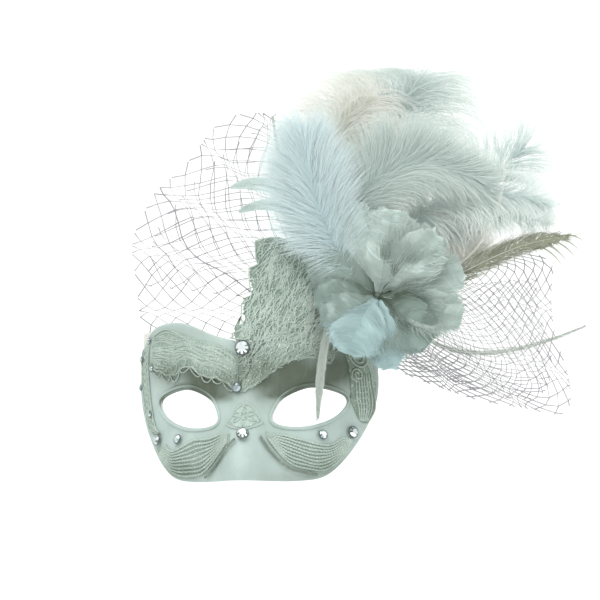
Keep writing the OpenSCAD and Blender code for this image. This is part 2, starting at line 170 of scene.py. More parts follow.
# %% Lights
# Each panel's place, the place that it faces, its size in metres and its power in watts.
BACKDROP = Vector((0, 1.2, 0))
PANELS = {
    "key_panel": ((-0.45, -1.5, 1.55), AIM, 1.6, 22),
    "side_panel": ((1.7, -1.1, 0.5), AIM, 1.4, 7),
    "backdrop_panel": ((0.0, 0.2, 2.3), BACKDROP, 2.6, 38),
}
for name, (place, target, size, power) in PANELS.items():
    data = bpy.data.lights.new(name, "AREA")
    data.size = size
    data.energy = power
    lamp = linked(name, data)
    lamp.location = place
    lamp.rotation_euler = (lamp.location - target).to_track_quat("Z", "Y").to_euler()

world = bpy.data.worlds.new("studio")
world.use_nodes = True
sky = world.node_tree.nodes["Background"].inputs
sky["Color"].default_value = (1, 1, 1, 1)
sky["Strength"].default_value = 0.62
bpy.context.scene.world = world
bpy.context.scene.view_settings.view_transform = "Standard"

# %% [markdown]
# ## Shader maths
# A material is easier to read as an expression than as boxes and wires. `Wire` wraps one output
# and turns Python's operators into Math nodes. `Look` is a material: its `add` method makes any
# other node from its type, its settings and what goes into its sockets.

# %% Wire and Look
class Wire:
    """One value in a material, with Python's operators for its maths."""

    def __init__(self, look, socket):
        self.look = look
        self.socket = socket

    def maths(self, operation, *terms):
        return self.look.add("ShaderNodeMath", {"operation": operation}, dict(enumerate(terms)))

    def __add__(self, other):
        return self.maths("ADD", self, other)

    def __sub__(self, other):
        return self.maths("SUBTRACT", self, other)

    def __rsub__(self, other):
        return self.maths("SUBTRACT", other, self)

    def __mul__(self, other):
        return self.maths("MULTIPLY", self, other)

    def __pow__(self, other):
        return self.maths("POWER", self, other)

    def __gt__(self, other):
        return self.maths("GREATER_THAN", self, other)


class Look:
    """A material whose nodes are made by expressions."""

    def __init__(self, name):
        self.material = bpy.data.materials.new(name)
        self.material.use_nodes = True
        self.tree = self.material.node_tree
        self.shader = self.tree.nodes["Principled BSDF"]

    def add(self, kind, settings=None, inputs=None, output=0):
        """A node of a type, with its settings set first and its sockets filled after."""
        made = self.tree.nodes.new(kind)
        for key, value in (settings or {}).items():
            if key == "stops":
                ramp = made.color_ramp.elements
                while len(ramp) < len(value):
                    ramp.new(0.5)
                for element, (place, colour) in zip(ramp, value):
                    element.position = place
                    element.color = (*colour, 1)
            else:
                setattr(made, key, value)
        for key, value in (inputs or {}).items():
            self.fill(made.inputs[key], value)
        return Wire(self, made.outputs[output])

    def fill(self, socket, value):
        if isinstance(value, Wire):
            self.tree.links.new(value.socket, socket)
        elif hasattr(socket, "default_value") and isinstance(value, tuple) and len(value) == 3:
            socket.default_value = (*value, 1) if socket.type == "RGBA" else value
        else:
            socket.default_value = value

    def place(self, scale=(1, 1, 1)):
        """Object coordinates, in metres, stretched by scale."""
        here = self.add("ShaderNodeTexCoord", output="Object")
        return self.add("ShaderNodeMapping", {}, {"Vector": here, "Scale": scale})

    def speckle(self, scale, detail=2.0, rough=0.5, at=None):
        """Smooth noise from 0 to 1, with features of about 1 / scale metres."""
        return self.add("ShaderNodeTexNoise", {}, {
            "Vector": at or self.place(), "Scale": scale, "Detail": detail, "Roughness": rough,
        })

    def cells(self, scale, feature="F1", output="Distance", at=None):
        """Voronoi cells of about 1 / scale metres."""
        return self.add("ShaderNodeTexVoronoi", {"feature": feature}, {
            "Vector": at or self.place(), "Scale": scale,
        }, output)

    def value(self, name):
        """A number stored on the piece's points or faces."""
        return self.add("ShaderNodeAttribute", {"attribute_name": name}, output="Fac")

    def ramp(self, amount, *stops):
        return self.add("ShaderNodeValToRGB", {"stops": stops}, {0: amount})

    def blend(self, amount, low, high):
        """Colour low where amount is 0 and high where it is 1."""
        return self.add("ShaderNodeMix", {"data_type": "RGBA"}, {0: amount, 6: low, 7: high}, 2)

    def bump(self, height, strength, depth):
        normal = self.add("ShaderNodeBump", {}, {
            "Height": height, "Strength": strength, "Distance": depth,
        })
        self.fill(self.shader.inputs["Normal"], normal)

    def set(self, **sockets):
        """Fill the shader's own sockets, with underscores for the spaces in their names."""
        for key, value in sockets.items():
            self.fill(self.shader.inputs[key.replace("_", " ")], value)
        return self.material


def grained(name, grain, low, high, bump=None, stretch=(1, 1, 1), stops=(0.3, 0.7), **sockets):
    """A finish that goes from one colour to another with a noise.

    grain is the noise's scale, detail and roughness, and bump its strength and depth in metres.
    """
    look = Look(name)
    amount = look.speckle(*grain, at=look.place(stretch))
    if bump:
        look.bump(amount, *bump)
    colour = look.ramp(amount, (stops[0], low), (stops[1], high))
    return look.set(Base_Color=colour, **sockets)


# %% [markdown]
# ## Finishes of the mask
# The shell is papier mache under gesso, brushed, so its colour drifts and its surface has faint
# brush marks and hairline crackle. Grey-green painted shade darkens its hollows, such as the eye
# sockets under the brow and the undersides of the upper eyelids. Inside it is bare paper.

# %% Shell finishes
def painted_shell():
    look = Look("painted_shell")
    drift = look.speckle(38, 4, 0.6)
    grain = look.speckle(900, 3, 0.6)
    streaks = look.speckle(160, 4, 0.7, look.place((1, 1, 0.25)))
    crackle = look.cells(420, "DISTANCE_TO_EDGE")
    hair = look.ramp(crackle, (0.0, (0, 0, 0)), (0.06, (1, 1, 1)))
    colour = look.ramp(drift, (0.3, (0.42, 0.53, 0.49)), (0.7, (0.53, 0.64, 0.61)))
    brushed = look.blend(streaks * 0.32, colour, (0.33, 0.41, 0.37))
    # Painted shade, grey-green, from the marks on the points, streaked a little by the brush marks.
    rubbed = look.value("rubbed") * (streaks * 0.3 + 0.85)
    shade_painted = look.blend(rubbed, brushed, (0.075, 0.098, 0.065))
    worn = look.blend(grain * 0.14, shade_painted, (0.30, 0.37, 0.32))
    look.bump(grain * 0.4 + hair * 0.3 + streaks * 0.5, 0.4, 0.0004)
    return look.set(Base_Color=worn, Roughness=grain * 0.25 + 0.42, Specular_IOR_Level=0.4)


def bare_paper():
    look = Look("bare_paper")
    pulp = look.speckle(260, 5, 0.7)
    fibre = look.speckle(90, 3, 0.6, look.place((1, 1, 6)))
    colour = look.ramp(pulp, (0.3, (0.50, 0.52, 0.47)), (0.75, (0.70, 0.71, 0.65)))
    look.bump(pulp + fibre * 0.6, 0.6, 0.0008)
    return look.set(Base_Color=colour, Roughness=0.9, Specular_IOR_Level=0.15)


shell_paint = painted_shell()
shell_paper = bare_paper()

# %% [markdown]
# ## Growing strands
# Lace threads, cords, quills and feather barbs are all the same job: many thin strands that each
# follow their own path. Extruding them one by one would be slow, so every strand of a piece starts
# as a few points and all of them are extruded together, step by step, and put in place.

# %% Grow many strands at once
def number_layer(items, name):
    """A layer of numbers on a bmesh's points or faces, made on first use."""
    return items.layers.float.get(name) or items.layers.float.new(name)


def grow(bm, rows, closed, tint=None, skin=0, deep=None, tone=0.0):
    """Extrude strands through rows[step, strand, corner]. closed makes them tubes.

    Each point keeps how far along its strand it lies, and its strand's tint, its deep (how much
    painted shade lies at the feather's foot and along a fold) and its tone (0 light, 1 dark: painted
    shade on a feather that lies in shadow).
    """
    steps, count, corners = rows.shape[:3]
    strand = bm.verts.layers.int.get("strand") or bm.verts.layers.int.new("strand")
    corner = bm.verts.layers.int.get("corner") or bm.verts.layers.int.new("corner")
    along, shade, foot, shadow = [
        number_layer(bm.verts, name) for name in ("along", "tint", "deep", "tone")
    ]
    tint = np.zeros(count) if tint is None else tint
    deep = np.zeros(count) if deep is None else deep
    edges = []
    for i in range(count):
        ring = []
        for j in range(corners):
            vert = bm.verts.new(rows[0, i, j])
            vert[strand] = i
            vert[corner] = j
            vert[shade] = tint[i]
            vert[foot] = deep[i]
            vert[shadow] = tone
            ring.append(vert)
        last = corners if closed else corners - 1
        edges += [bm.edges.new((ring[j], ring[(j + 1) % corners])) for j in range(last)]
        if closed:
            bm.faces.new(ring)
    for step in range(1, steps):
        made = bmesh.ops.extrude_edge_only(bm, edges=edges)["geom"]
        fresh = set(verts_of(made))
        for vert in fresh:
            vert.co = rows[step, vert[strand], vert[corner]]
            vert[along] = step / (steps - 1)
        edges = [
            g for g in made
            if isinstance(g, bmesh.types.BMEdge) and g.verts[0] in fresh and g.verts[1] in fresh
        ]
        for g in made:
            if isinstance(g, bmesh.types.BMFace):
                g.material_index = skin
    if closed:
        bmesh.ops.edgeloop_fill(bm, edges=edges, mat_nr=skin)
    return bm


def unit_rows(vectors):
    return vectors / np.maximum(np.linalg.norm(vectors, axis=-1, keepdims=True), 1e-12)


def tube_rows(centres, normals, radii, sides=6):
    """Rings of points round the paths centres[step, strand]."""
    ahead = unit_rows(np.gradient(centres, axis=0))
    across = unit_rows(np.cross(ahead, normals))
    up = np.cross(across, ahead)
    angles = 2 * math.pi * (np.arange(sides) + 0.5) / sides
    ring = (
        np.cos(angles)[None, None, :, None] * across[:, :, None]
        + np.sin(angles)[None, None, :, None] * up[:, :, None]
    )
    return centres[:, :, None] + ring * radii[:, :, None, None]


def resampled(points, count):
    """Points evenly spaced along a path."""
    points = np.asarray(points, float)
    lengths = np.linalg.norm(np.diff(points, axis=0), axis=1)
    travelled = np.concatenate([[0], np.cumsum(lengths)])
    wanted = np.linspace(0, travelled[-1], count)
    return np.stack([np.interp(wanted, travelled, points[:, k]) for k in range(3)], axis=1)


def traced(found, least, count):
    """An evenly spaced path through the (point, normal) pairs that were found, or None."""
    found = [f for f in found if f is not None]
    if len(found) < least:
        return None
    return resampled([f[0] for f in found], count), resampled([f[1] for f in found], count)


# %% [markdown]
# ## The shell
# The CAD shell is exact but facetted. A copy has its doubles merged and its triangles joined into
# four-sided faces, and a Subdivision Surface modifier rounds it. Building it again from a grid
# would risk a different size; a copy can't drift. The inside faces get the paper.

# %% Read and smooth the shell
def merged_copy(node):
    """A bmesh of a CAD node, with its loose triangles merged into one surface."""
    bm = bmesh.new()
    bm.from_mesh(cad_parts[node].data)
    bmesh.ops.remove_doubles(bm, verts=bm.verts, dist=1e-5)
    return bm


def surface_tree(node):
    """A search tree over a CAD node's surface."""
    bm = merged_copy(node)
    tree = BVHTree.FromBMesh(bm)
    bm.free()
    return tree


IN_FRONT = -0.2
BACKWARDS = Vector((0, 1, 0))


def on_surface(tree, x, z, lift=0.0):
    """The point and outward normal where a line along +Y first meets a surface, or None."""
    hit, normal, _, _ = tree.ray_cast(Vector((x, IN_FRONT, z)), BACKWARDS)
    if hit is None:
        return None
    if normal.y > 0:
        normal = -normal
    return hit + normal * lift, normal


def keep(obj, node):
    """Ride on the only body and stand for a CAD node."""
    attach(obj, BODY)
    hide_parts(node)
    print(f"{obj.name}: {len(obj.data.polygons)} faces")
    return obj


# Where grey-green painted shade lies, mostly in hollows such as the eye sockets under the brow:
# across, up, half width, half height in mm and how much of it.
PAINTED_SHADE_SPOTS = [
    (35, 17, 22, 14, 1.0), (61, 24, 15, 14, 0.9), (-31, 13, 24, 10, 0.75), (-58, 25, 13, 7, 0.8),
    (-12, 14, 8, 9, 0.4), (13, 10, 9, 13, 0.5), (36, -53, 20, 5, 0.35), (84, 10, 4, 30, 0.3),
    (-36, 50, 30, 9, 0.2), (-50, -47, 20, 8, 0.5), (60, -46, 16, 8, 0.5), (74, 36, 9, 20, 0.45),
    (5, 24, 15, 12, 0.5), (34, 47, 22, 10, 0.3), (60, 62, 20, 18, 0.5),
]


def paint_shade(bm):
    """Mark on a piece's points how much painted shade lies there."""
    rubbed = number_layer(bm.verts, "rubbed")
    for vert in bm.verts:
        vert[rubbed] = min(1.0, sum(
            depth * math.exp(-((vert.co.x - x * MM) / (wide * MM)) ** 2
                             - ((vert.co.z - z * MM) / (high * MM)) ** 2)
            for x, z, wide, high, depth in PAINTED_SHADE_SPOTS
        ))


# The lip round an eye hole lies LIP_IN outside its edge; the rolled edge lies ROLL_IN inside the
# lip and ROLL_BACK behind it. No point of the hole's edge is further than EYE_REACH from its middle.
LIP_R = 1.5 * MM
LIP_IN = 1.2 * MM
EYE_REACH = 34 * MM
EYE_STEPS = 72
ROLL_IN = 1.5 * MM
ROLL_BACK = 1.6 * MM
ROLL_R = 1.2 * MM


def eye_rim(bm, middle):
    """A raised lip round an eye hole, and the edge that rolls in behind it.

    The hole's edge is found by feeling for it from its middle.
    """
    tree = BVHTree.FromBMesh(bm)
    centres, normals = [], []
    for angle in np.linspace(0, 2 * math.pi, EYE_STEPS + 1)[:-1]:
        way = Vector((math.cos(angle), 0, math.sin(angle)))
        inner, outer = 0.0, EYE_REACH
        while outer - inner > 0.02 * MM:
            half = (inner + outer) / 2
            spot = middle + way * half
            if on_surface(tree, spot.x, spot.z) is None:
                inner = half
            else:
                outer = half
        spot = middle + way * (outer + LIP_IN)
        point, normal = on_surface(tree, spot.x, spot.z)
        centres.append(list(point))
        normals.append(list(normal))
    closed = list(range(EYE_STEPS)) + [0, 1]
    centres = np.array(centres)
    for _ in range(3):
        centres = (np.roll(centres, 1, 0) + 2 * centres + np.roll(centres, -1, 0)) / 4
    centres, normals = centres[closed][:, None], np.array(normals)[closed][:, None]
    grow(bm, tube_rows(centres, normals, np.full((len(closed), 1), LIP_R), 6), True)
    inward = unit_rows(np.array(middle) * [1, 0, 1] - centres * [1, 0, 1])
    rolled = centres + inward * ROLL_IN + np.array([0, ROLL_BACK, 0])
    upper = np.clip(3 * (centres[:, :, 2] - middle.z) / EYE_REACH, 0.2, 1)
    grow(bm, tube_rows(rolled, normals, ROLL_R * upper, 6), True)


bm = merged_copy("mask_shell")
bmesh.ops.join_triangles(
    bm, faces=bm.faces, angle_face_threshold=1.2, angle_shape_threshold=1.2,
    cmp_seam=False, cmp_sharp=False, cmp_uvs=False, cmp_vcols=False, cmp_materials=False,
)
bm.normal_update()
for face in bm.faces:
    face.material_index = 1 if face.normal.y > 0.15 else 0
eyes = [Vector((-42, 0, -1)) * MM, Vector((42, 0, -1)) * MM]
lips = []
for middle in eyes:
    before = set(bm.verts)
    eye_rim(bm, middle)
    lips.append(set(bm.verts) - before)
paint_shade(bm)
bm.normal_update()
# Painted shadow on the undersides of the upper eyelids and their lips, which face down, away from the
# light. Every lip also gets a little painted shade.
shade_mark = bm.verts.layers.float["rubbed"]
for vert in bm.verts:
    for middle, lip in zip(eyes, lips):
        inward = middle - vert.co
        inward.y = 0
        under = min(1, max(0, 2 * vert.normal.dot(inward.normalized()) + 0.2))
        under *= min(1, max(0, (vert.co.z - middle.z) / (5 * MM)))
        if vert in lip:
            vert[shade_mark] = max(under, 0.12)
        elif inward.length < EYE_REACH:
            vert[shade_mark] = max(vert[shade_mark], under)
shell = finished("mask_shell_moulded", bm, [shell_paint, shell_paper])
rounding = shell.modifiers.new("round", "SUBSURF")
rounding.levels = 2
rounding.render_levels = 2
keep(shell, "mask_shell")
bpy.context.view_layer.update()

shell_smooth = bmesh.new()
shell_smooth.from_object(shell, bpy.context.evaluated_depsgraph_get())
shell_tree = BVHTree.FromBMesh(shell_smooth)
shell_smooth.free()

# %% [markdown]
# ## Lace
# The lace is open stiffened work with glitter: a fine ground with thicker corded threads on it.
# Each CAD leaf says where a piece of lace lies. Cutting the leaf with a row of planes gives its two
# long edges, so a pattern can be drawn on it with one number along and one across.

# %% Lace finishes
def glitter_thread(name, low, high, sparkle=0.5):
    look = Look(name)
    twist = look.speckle(1900, 3, 0.7)
    patch = look.speckle(60, 3, 0.6)
    flake = look.cells(1500, output="Color")
    glint = look.add("ShaderNodeSeparateColor", {}, {0: flake}) > 1 - 0.35 * sparkle
    colour = look.ramp(twist * 0.55 + patch * 0.45, (0.32, low), (0.68, high))
    # Painted shade where the lace lies in the mask's hollows.
    lace_shaded = look.blend(look.value("rubbed") * 0.7, colour, (0.16, 0.20, 0.145))
    lit = look.blend(glint * 0.45, lace_shaded, (0.85, 0.92, 0.87))
    look.bump(twist + glint * 0.3, 0.8, 0.0005)
    return look.set(
        Base_Color=lit, Roughness=0.8 - glint * 0.4, Metallic=glint * 0.15,
        Specular_IOR_Level=0.3,
    )


lace_thread = glitter_thread("lace_thread", (0.37, 0.47, 0.41), (0.57, 0.67, 0.60), 0.3)
lace_ground = glitter_thread("lace_ground", (0.17, 0.24, 0.18), (0.37, 0.47, 0.40), 0.2)
lace_pale = glitter_thread("lace_pale", (0.27, 0.36, 0.31), (0.50, 0.60, 0.54), 0.15)
piping_thread = glitter_thread("piping_thread", (0.15, 0.19, 0.15), (0.29, 0.35, 0.29), 0.1)


# %% The two long edges of a leaf
LEAF_CUTS = 40


class Leaf:
    """A CAD leaf, measured so that at(s, t) is a place along and across it."""

    def __init__(self, node, tree, up=False, pointed=0.0):
        self.tree = tree
        self.up = up
        self.pointed = pointed
        way = 2 if up else 0
        low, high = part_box(node)
        margin = 0.004 * (high[way] - low[way])
        self.stations = np.linspace(low[way] + margin, high[way] - margin, LEAF_CUTS)
        self.edges = []
        normal = Vector((0, 0, 1)) if up else Vector((1, 0, 0))
        for station in self.stations:
            bm = merged_copy(node)
            cut = bmesh.ops.bisect_plane(
                bm, geom=bm.verts[:] + bm.edges[:] + bm.faces[:],
                plane_co=normal * station, plane_no=normal,
            )["geom_cut"]
            spread = [v.co[2 - way] for v in verts_of(cut)]
            self.edges.append((min(spread), max(spread)))
            bm.free()
        self.edges = np.array(self.edges)
        self.depth = (low.y + high.y) / 2

    def place(self, s, t):
        """Across and up, for s along the leaf and t across it.

        A pointed leaf draws in to its far edge over its first part.
        """
        if self.pointed:
            t = 1 - (1 - t) * np.sqrt(np.clip(0.02 + s / self.pointed, 0, 1))
        station = np.interp(s, np.linspace(0, 1, LEAF_CUTS), self.stations)
        low = np.interp(station, self.stations, self.edges[:, 0])
        high = np.interp(station, self.stations, self.edges[:, 1])
        side = low + (high - low) * t
        return (side, station) if self.up else (station, side)

    def at(self, s, t, lift=0.0):
        x, z = self.place(s, t)
        return on_surface(self.tree, x, z, lift)

    def nearest(self, place):
        """The surface's point nearest to a place, and the normal there, facing forward."""
        point, normal, _, _ = self.tree.find_nearest(place)
        return point, -normal if normal.y > 0 else normal

    def path(self, pairs, lift, count=26):
        """A path along (s, t) pairs, lying on the surface, with the normals there."""
        return traced([self.at(s, t, lift) for s, t in pairs], 3, count)


# %% Cords laid on the mask
def cords(bm, paths, radius, sides=6, beads=0.0, bead_length=0.0022, skin=0, seed=1):
    """Round cords along (points, normals) paths, with beads swelling them if asked."""
    paths = [p for p in paths if p is not None]
    centres = np.stack([p[0] for p in paths], axis=1)
    normals = np.stack([p[1] for p in paths], axis=1)
    travelled = np.concatenate([
        np.zeros((1, len(paths))),
        np.cumsum(np.linalg.norm(np.diff(centres, axis=0), axis=2), axis=0),
    ])
    radii = radius * (1 + beads * np.sin(2 * math.pi * travelled / bead_length))
    radii[0] *= 0.5
    radii[-1] *= 0.5
    tint = np.random.default_rng(seed).random(len(paths))
    grow(bm, tube_rows(centres, normals, radii, sides), True, tint, skin)


# Where the tips of the crest's steps lie along its free edge, and how far they stand out.
STEP_TIPS = (0.14, 0.42, 0.71, 0.95)
STEP_OUT = 5.5 * MM


def stepped(t):
    """The outline of rounded steps up a free edge: each juts out, then is cut back above."""
    below = [tip - t for tip in STEP_TIPS]
    return max([0.0] + [
        (1 - d / 0.2) ** 0.7 if d >= 0 else 1 + d / 0.03 for d in below if -0.03 < d < 0.2
    ])


def ground(bm, leaf, columns, rows, lift, thick, seed, ragged=0.05, scallop=0.0):
    """The fine ground of a piece of lace: a thin sheet with an uneven edge.

    scallop is how far rounded steps stand out of its edge where t is 0, in metres.
    """
    made = bmesh.ops.create_grid(bm, x_segments=columns, y_segments=rows, size=0.5)["verts"]
    for vert in made:
        s, t = vert.co.x + 0.5, vert.co.y + 0.5
        wander = ragged * noise.noise(Vector((s * 22, t * 3, seed)))
        edge = abs(2 * t - 1) ** 3
        x, z = leaf.place(s, t + wander * edge)
        found = leaf.at(s, t + wander * edge) or leaf.nearest(Vector((x, leaf.depth, z)))
        bite = scallop * max(0, 1 - t / 0.16) * stepped(s)
        rough = noise.noise(found[0] * 900) * 0.25 * MM
        vert.co = found[0] + found[1] * (lift + rough) + Vector((-bite, 0, 0))
    faces = list({f for v in made for f in v.link_faces})
    raised = bmesh.ops.extrude_face_region(bm, geom=faces)["geom"]
    for vert in set(verts_of(raised)):
        vert.co += -leaf.nearest(vert.co)[1] * thick
    bmesh.ops.recalc_face_normals(bm, faces=bm.faces)
    for face in bm.faces:
        face.material_index = 1


GROUND_LIFT = 0.6 * MM
GROUND_T = 0.4 * MM
THREAD_R = 0.55 * MM


def wave(s0, s1, t0, t1, sway, turns, phase=0.0, count=60):
    """(s, t) pairs from one place to another that sway across the line."""
    steps = np.linspace(0, 1, count)
    return [
        (s0 + (s1 - s0) * u, t0 + (t1 - t0) * u + sway * math.sin(2 * math.pi * (turns * u + phase)))
        for u in steps
    ]


def loop(s, t, wide, high, start=0.0, turn=1.0, shrink=0.0, count=40):
    """(s, t) pairs round an arc, a ring or, with shrink, a spiral."""
    pairs = []
    for u in np.linspace(0, 1, count):
        angle = 2 * math.pi * (start + turn * u)
        size = 1 - shrink * u
        pairs.append((s + wide * size * math.cos(angle), t + high * size * math.sin(angle)))
    return pairs


def lace_piece(name, node, groups, leaf, columns, rows, seed, under=lace_ground):
    """A ground and groups of cords: each group is (list of (s, t) paths, radius, beads)."""
    bm = bmesh.new()
    ground(bm, leaf, columns, rows, GROUND_LIFT, GROUND_T, seed)
    for index, (lines, radius, beads) in enumerate(groups):
        paths = [leaf.path(line, GROUND_LIFT + 0.5 * radius) for line in lines]
        cords(bm, paths, radius, beads=beads, seed=seed + index)
    paint_shade(bm)
    return keep(finished(name, bm, [lace_thread, under]), node)


# %% [markdown]
# Over the left brow the threads sweep from the temple to the middle of the forehead, with a border
# of open loops above the eye. Over the right brow they fan up from the bridge to the crest.

# %% Brow lace
rng = random.Random(7)


def scattered(count, up, wide, high, shrink):
    """Small curls all over a leaf. up, wide and high are each a least value and a range."""
    return [
        loop(rng.random() * 0.94 + 0.03, up[0] + up[1] * rng.random(),
             wide[0] + wide[1] * rng.random(), high[0] + high[1] * rng.random(), rng.random(),
             0.5 + 0.8 * rng.random(), shrink)
        for _ in range(count)
    ]


leaf = Leaf("brow_lace_left", shell_tree)
sweeps = [
    wave(0.02, 0.99, t, 0.35 + 0.5 * t, 0.05 + 0.02 * rng.random(), 1 + rng.random(), rng.random())
    for t in np.linspace(0.12, 0.97, 17)
]
crossing = []
for s in np.linspace(0.03, 0.93, 46):
    lean = 0.05 + 0.05 * rng.random()
    crossing.append(wave(s, s + lean, 0.1 + 0.1 * rng.random(), 0.95, 0.01, 1, rng.random()))
border_loops = [loop(s, 0.06, 0.055, 0.2, 0.5, 0.5) for s in np.linspace(0.1, 0.9, 8)]
border_loops += [loop(s, 0.16, 0.028, 0.1) for s in np.linspace(0.1, 0.9, 8)]
edge_line = [wave(0.01, 0.99, 0.02, 0.02, 0.03, 8)]
curls = scattered(70, (0.15, 0.75), (0.02, 0.03), (0.06, 0.1), 0.5)
lace_piece("brow_lace_left_work", "brow_lace_left", [
    (curls, THREAD_R * 0.7, 0.15),
    (sweeps, THREAD_R * 0.9, 0.12), (crossing, THREAD_R * 0.6, 0), (border_loops, THREAD_R, 0.1),
    (edge_line, THREAD_R * 1.4, 0.15),
], leaf, 60, 18, 11, lace_pale)

leaf = Leaf("brow_lace_right", shell_tree)
fan = []
for s in np.linspace(0.0, 0.99, 90):
    reach = 0.08 + 0.2 * rng.random()
    low = 0.04 * rng.random() if rng.random() < 0.6 else 0.5 * rng.random()
    fan.append(wave(s, min(0.995, s + reach), low, 1.0, 0.02, 1.5, rng.random()))
sweeps = [wave(0.01, 0.99, t, t, 0.03, 3, rng.random()) for t in np.linspace(0.1, 0.9, 8)]
edge_line = [wave(0.0, 1.0, 0.03, 0.03, 0.025, 11)]
border_loops = [loop(s, 0.1, 0.03, 0.12) for s in np.linspace(0.05, 0.93, 12)]
curls = scattered(90, (0.1, 0.8), (0.015, 0.03), (0.05, 0.08), 0.4)
lace_piece("brow_lace_right_work", "brow_lace_right", [
    (curls, THREAD_R * 0.7, 0.15),
    (fan, THREAD_R * 0.8, 0.1), (sweeps, THREAD_R * 0.6, 0), (edge_line, THREAD_R * 1.4, 0.15),
    (border_loops, THREAD_R * 0.8, 0),
], leaf, 60, 18, 13)

# %% [markdown]
# The bridge carries a small rosette, and each temple a narrow edging: rings and leaves on the left,
# a spiral scroll with long ribs on the right.

# %% Bridge and temple lace
leaf = Leaf("bridge_lace", shell_tree)
rosette = [loop(0.5 + 0.24 * math.cos(a), 0.5 + 0.24 * math.sin(a), 0.16, 0.2)
           for a in np.linspace(0, 2 * math.pi, 7)[:-1]]
rosette += [loop(0.5, 0.5, 0.1, 0.14), loop(0.5, 0.5, 0.42, 0.42)]
lace_piece(
    "bridge_lace_work", "bridge_lace", [(rosette, THREAD_R * 0.8, 0.1)], leaf, 22, 18, 17,
    shell_paint,
)

leaf = Leaf("temple_lace_left", shell_tree, up=True)
rings = [loop(s, 0.5, 0.035, 0.32) for s in np.linspace(0.07, 0.93, 12)]
rings += [loop(s, 0.5, 0.016, 0.15) for s in np.linspace(0.11, 0.89, 11)]
sides = [wave(0.01, 0.99, t, t, 0.05, 9, 0.25) for t in (0.04, 0.96)]
lace_piece("temple_lace_left_work", "temple_lace_left", [
    (rings, THREAD_R * 0.7, 0), (sides, THREAD_R, 0.12),
], leaf, 60, 8, 19, lace_pale)

leaf = Leaf("temple_lace_right", shell_tree, up=True, pointed=0.3)
scroll = [loop(0.82, 0.45, 0.15, 0.42, 0.0, 2.6, 0.85), loop(0.6, 0.3, 0.09, 0.26, 0.5, 1.8, 0.8)]
ribs = [wave(0.02, 0.62, t, 0.3 + 0.68 * t, 0.1, 0.7, 0.1) for t in np.linspace(0.08, 0.95, 7)]
ribs += [wave(0.5, 0.98, t, t, 0.05, 0.8, 0.3) for t in np.linspace(0.86, 0.97, 3)]
leaves = [loop(s, 0.42, 0.05, 0.3, 0.1, 0.5) for s in np.linspace(0.08, 0.5, 7)]
lace_piece("temple_lace_right_work", "temple_lace_right", [
    (scroll, THREAD_R * 1.4, 0.08), (ribs, THREAD_R * 1.1, 0.1), (leaves, THREAD_R * 0.8, 0),
], leaf, 60, 12, 23)

# %% [markdown]
# On each cheek, corded rows hang one below the other like draped beads. A row is a cord whose
# radius swells and shrinks along it, and the rows share the curve of the fan's two edges.

# %% Cheek fans
for side in ("left", "right"):
    node = f"cheek_fan_{side}"
    leaf = Leaf(node, shell_tree)
    levels = np.linspace(0.05, 0.96, 9)
    rows_of_beads = [
        wave(0.02 + 0.012 * i, 0.985 - 0.01 * rng.random(), t, t, 0.014, 2.5, 0.13 * i)
        for i, t in enumerate(levels)
    ]
    rope = [[(s, t + 0.055) for s, t in line] for line in rows_of_beads[:-1]]
    bm = bmesh.new()
    ground(bm, leaf, 60, 16, 0.5 * MM, GROUND_T, 29, ragged=0.02)
    cords(
        bm, [leaf.path(line, 0.9 * MM, 110) for line in rows_of_beads], 0.75 * MM,
        beads=0.36, bead_length=2.1 * MM, seed=31,
    )
    cords(bm, [leaf.path(line, 0.5 * MM, 60) for line in rope], 0.25 * MM, skin=1, seed=37)
    paint_shade(bm)
    keep(finished(f"{node}_work", bm, [lace_thread, lace_pale]), node)

# %% [markdown]
# Two dark cords edge the plain field of the nose. Each CAD cord already has the right path, so its
# rings give the centre line, and the new cord is grown along it with a fine twist.

# %% Nose piping
NOSE_TOP = Vector((0, -0.055, -0.024))
CORNERS = 8


def rings_of(node, near):
    """The rings of points of a swept CAD solid, from the end nearest a place to the other."""
    bm = merged_copy(node)
    bm.verts.index_update()
    start = min(bm.verts, key=lambda v: (v.co - near).length)
    ring = sorted(bm.verts, key=lambda v: (v.co - start.co).length)[:CORNERS]
    seen = set(ring)
    rings = []
    while ring:
        rings.append([v.co.copy() for v in ring])
        beside = {e.other_vert(v) for v in ring for e in v.link_edges}
        ring = sorted(beside - seen, key=lambda v: v.index)
        seen |= beside
    bm.free()
    return rings


def smooth_at(table, places):
    """Cubic steps between a table's rows, at many places at once."""
    table = np.asarray(table, float)
    table = table[:, None] if table.ndim == 1 else table
    padded = np.vstack([2 * table[0] - table[1], table, 2 * table[-1] - table[-2]])
    i = np.minimum(places.astype(int), len(table) - 2)
    u = (places - i)[:, None]
    a, b, c, d = padded[i], padded[i + 1], padded[i + 2], padded[i + 3]
    return 0.5 * (
        2 * b + (c - a) * u + (2 * a - 5 * b + 4 * c - d) * u * u + (3 * b - a - 3 * c + d) * u ** 3
    )


def smooth_path(points, count):
    """A smooth curve through points."""
    return smooth_at(points, np.linspace(0, len(points) - 1, count))


for side in ("left", "right"):
    node = f"nose_piping_{side}"
    rings = rings_of(node, NOSE_TOP)
    centre = smooth_path([np.mean([list(p) for p in ring], axis=0) for ring in rings], 90)
    surface = [on_surface(shell_tree, x, z) for x, _, z in centre]
    normals = np.array([list(f[1]) if f else (0, -1, 0) for f in surface])
    bm = bmesh.new()
    cords(bm, [(centre, normals)], 0.9 * MM, sides=8, beads=0.14, bead_length=1.8 * MM)
    keep(finished(f"{node}_cord", bm, [piping_thread]), node)

# %% [markdown]
# ## Rhinestones
# A rhinestone is a flat-backed cut stone: a table on top, a crown of facets and a foil behind that
# throws the light back. Its facets are what is seen, so they are real faces, each with a painted
# reflection in its colour, a brightness of its own, and a dark rim of foil and glue shows round it.

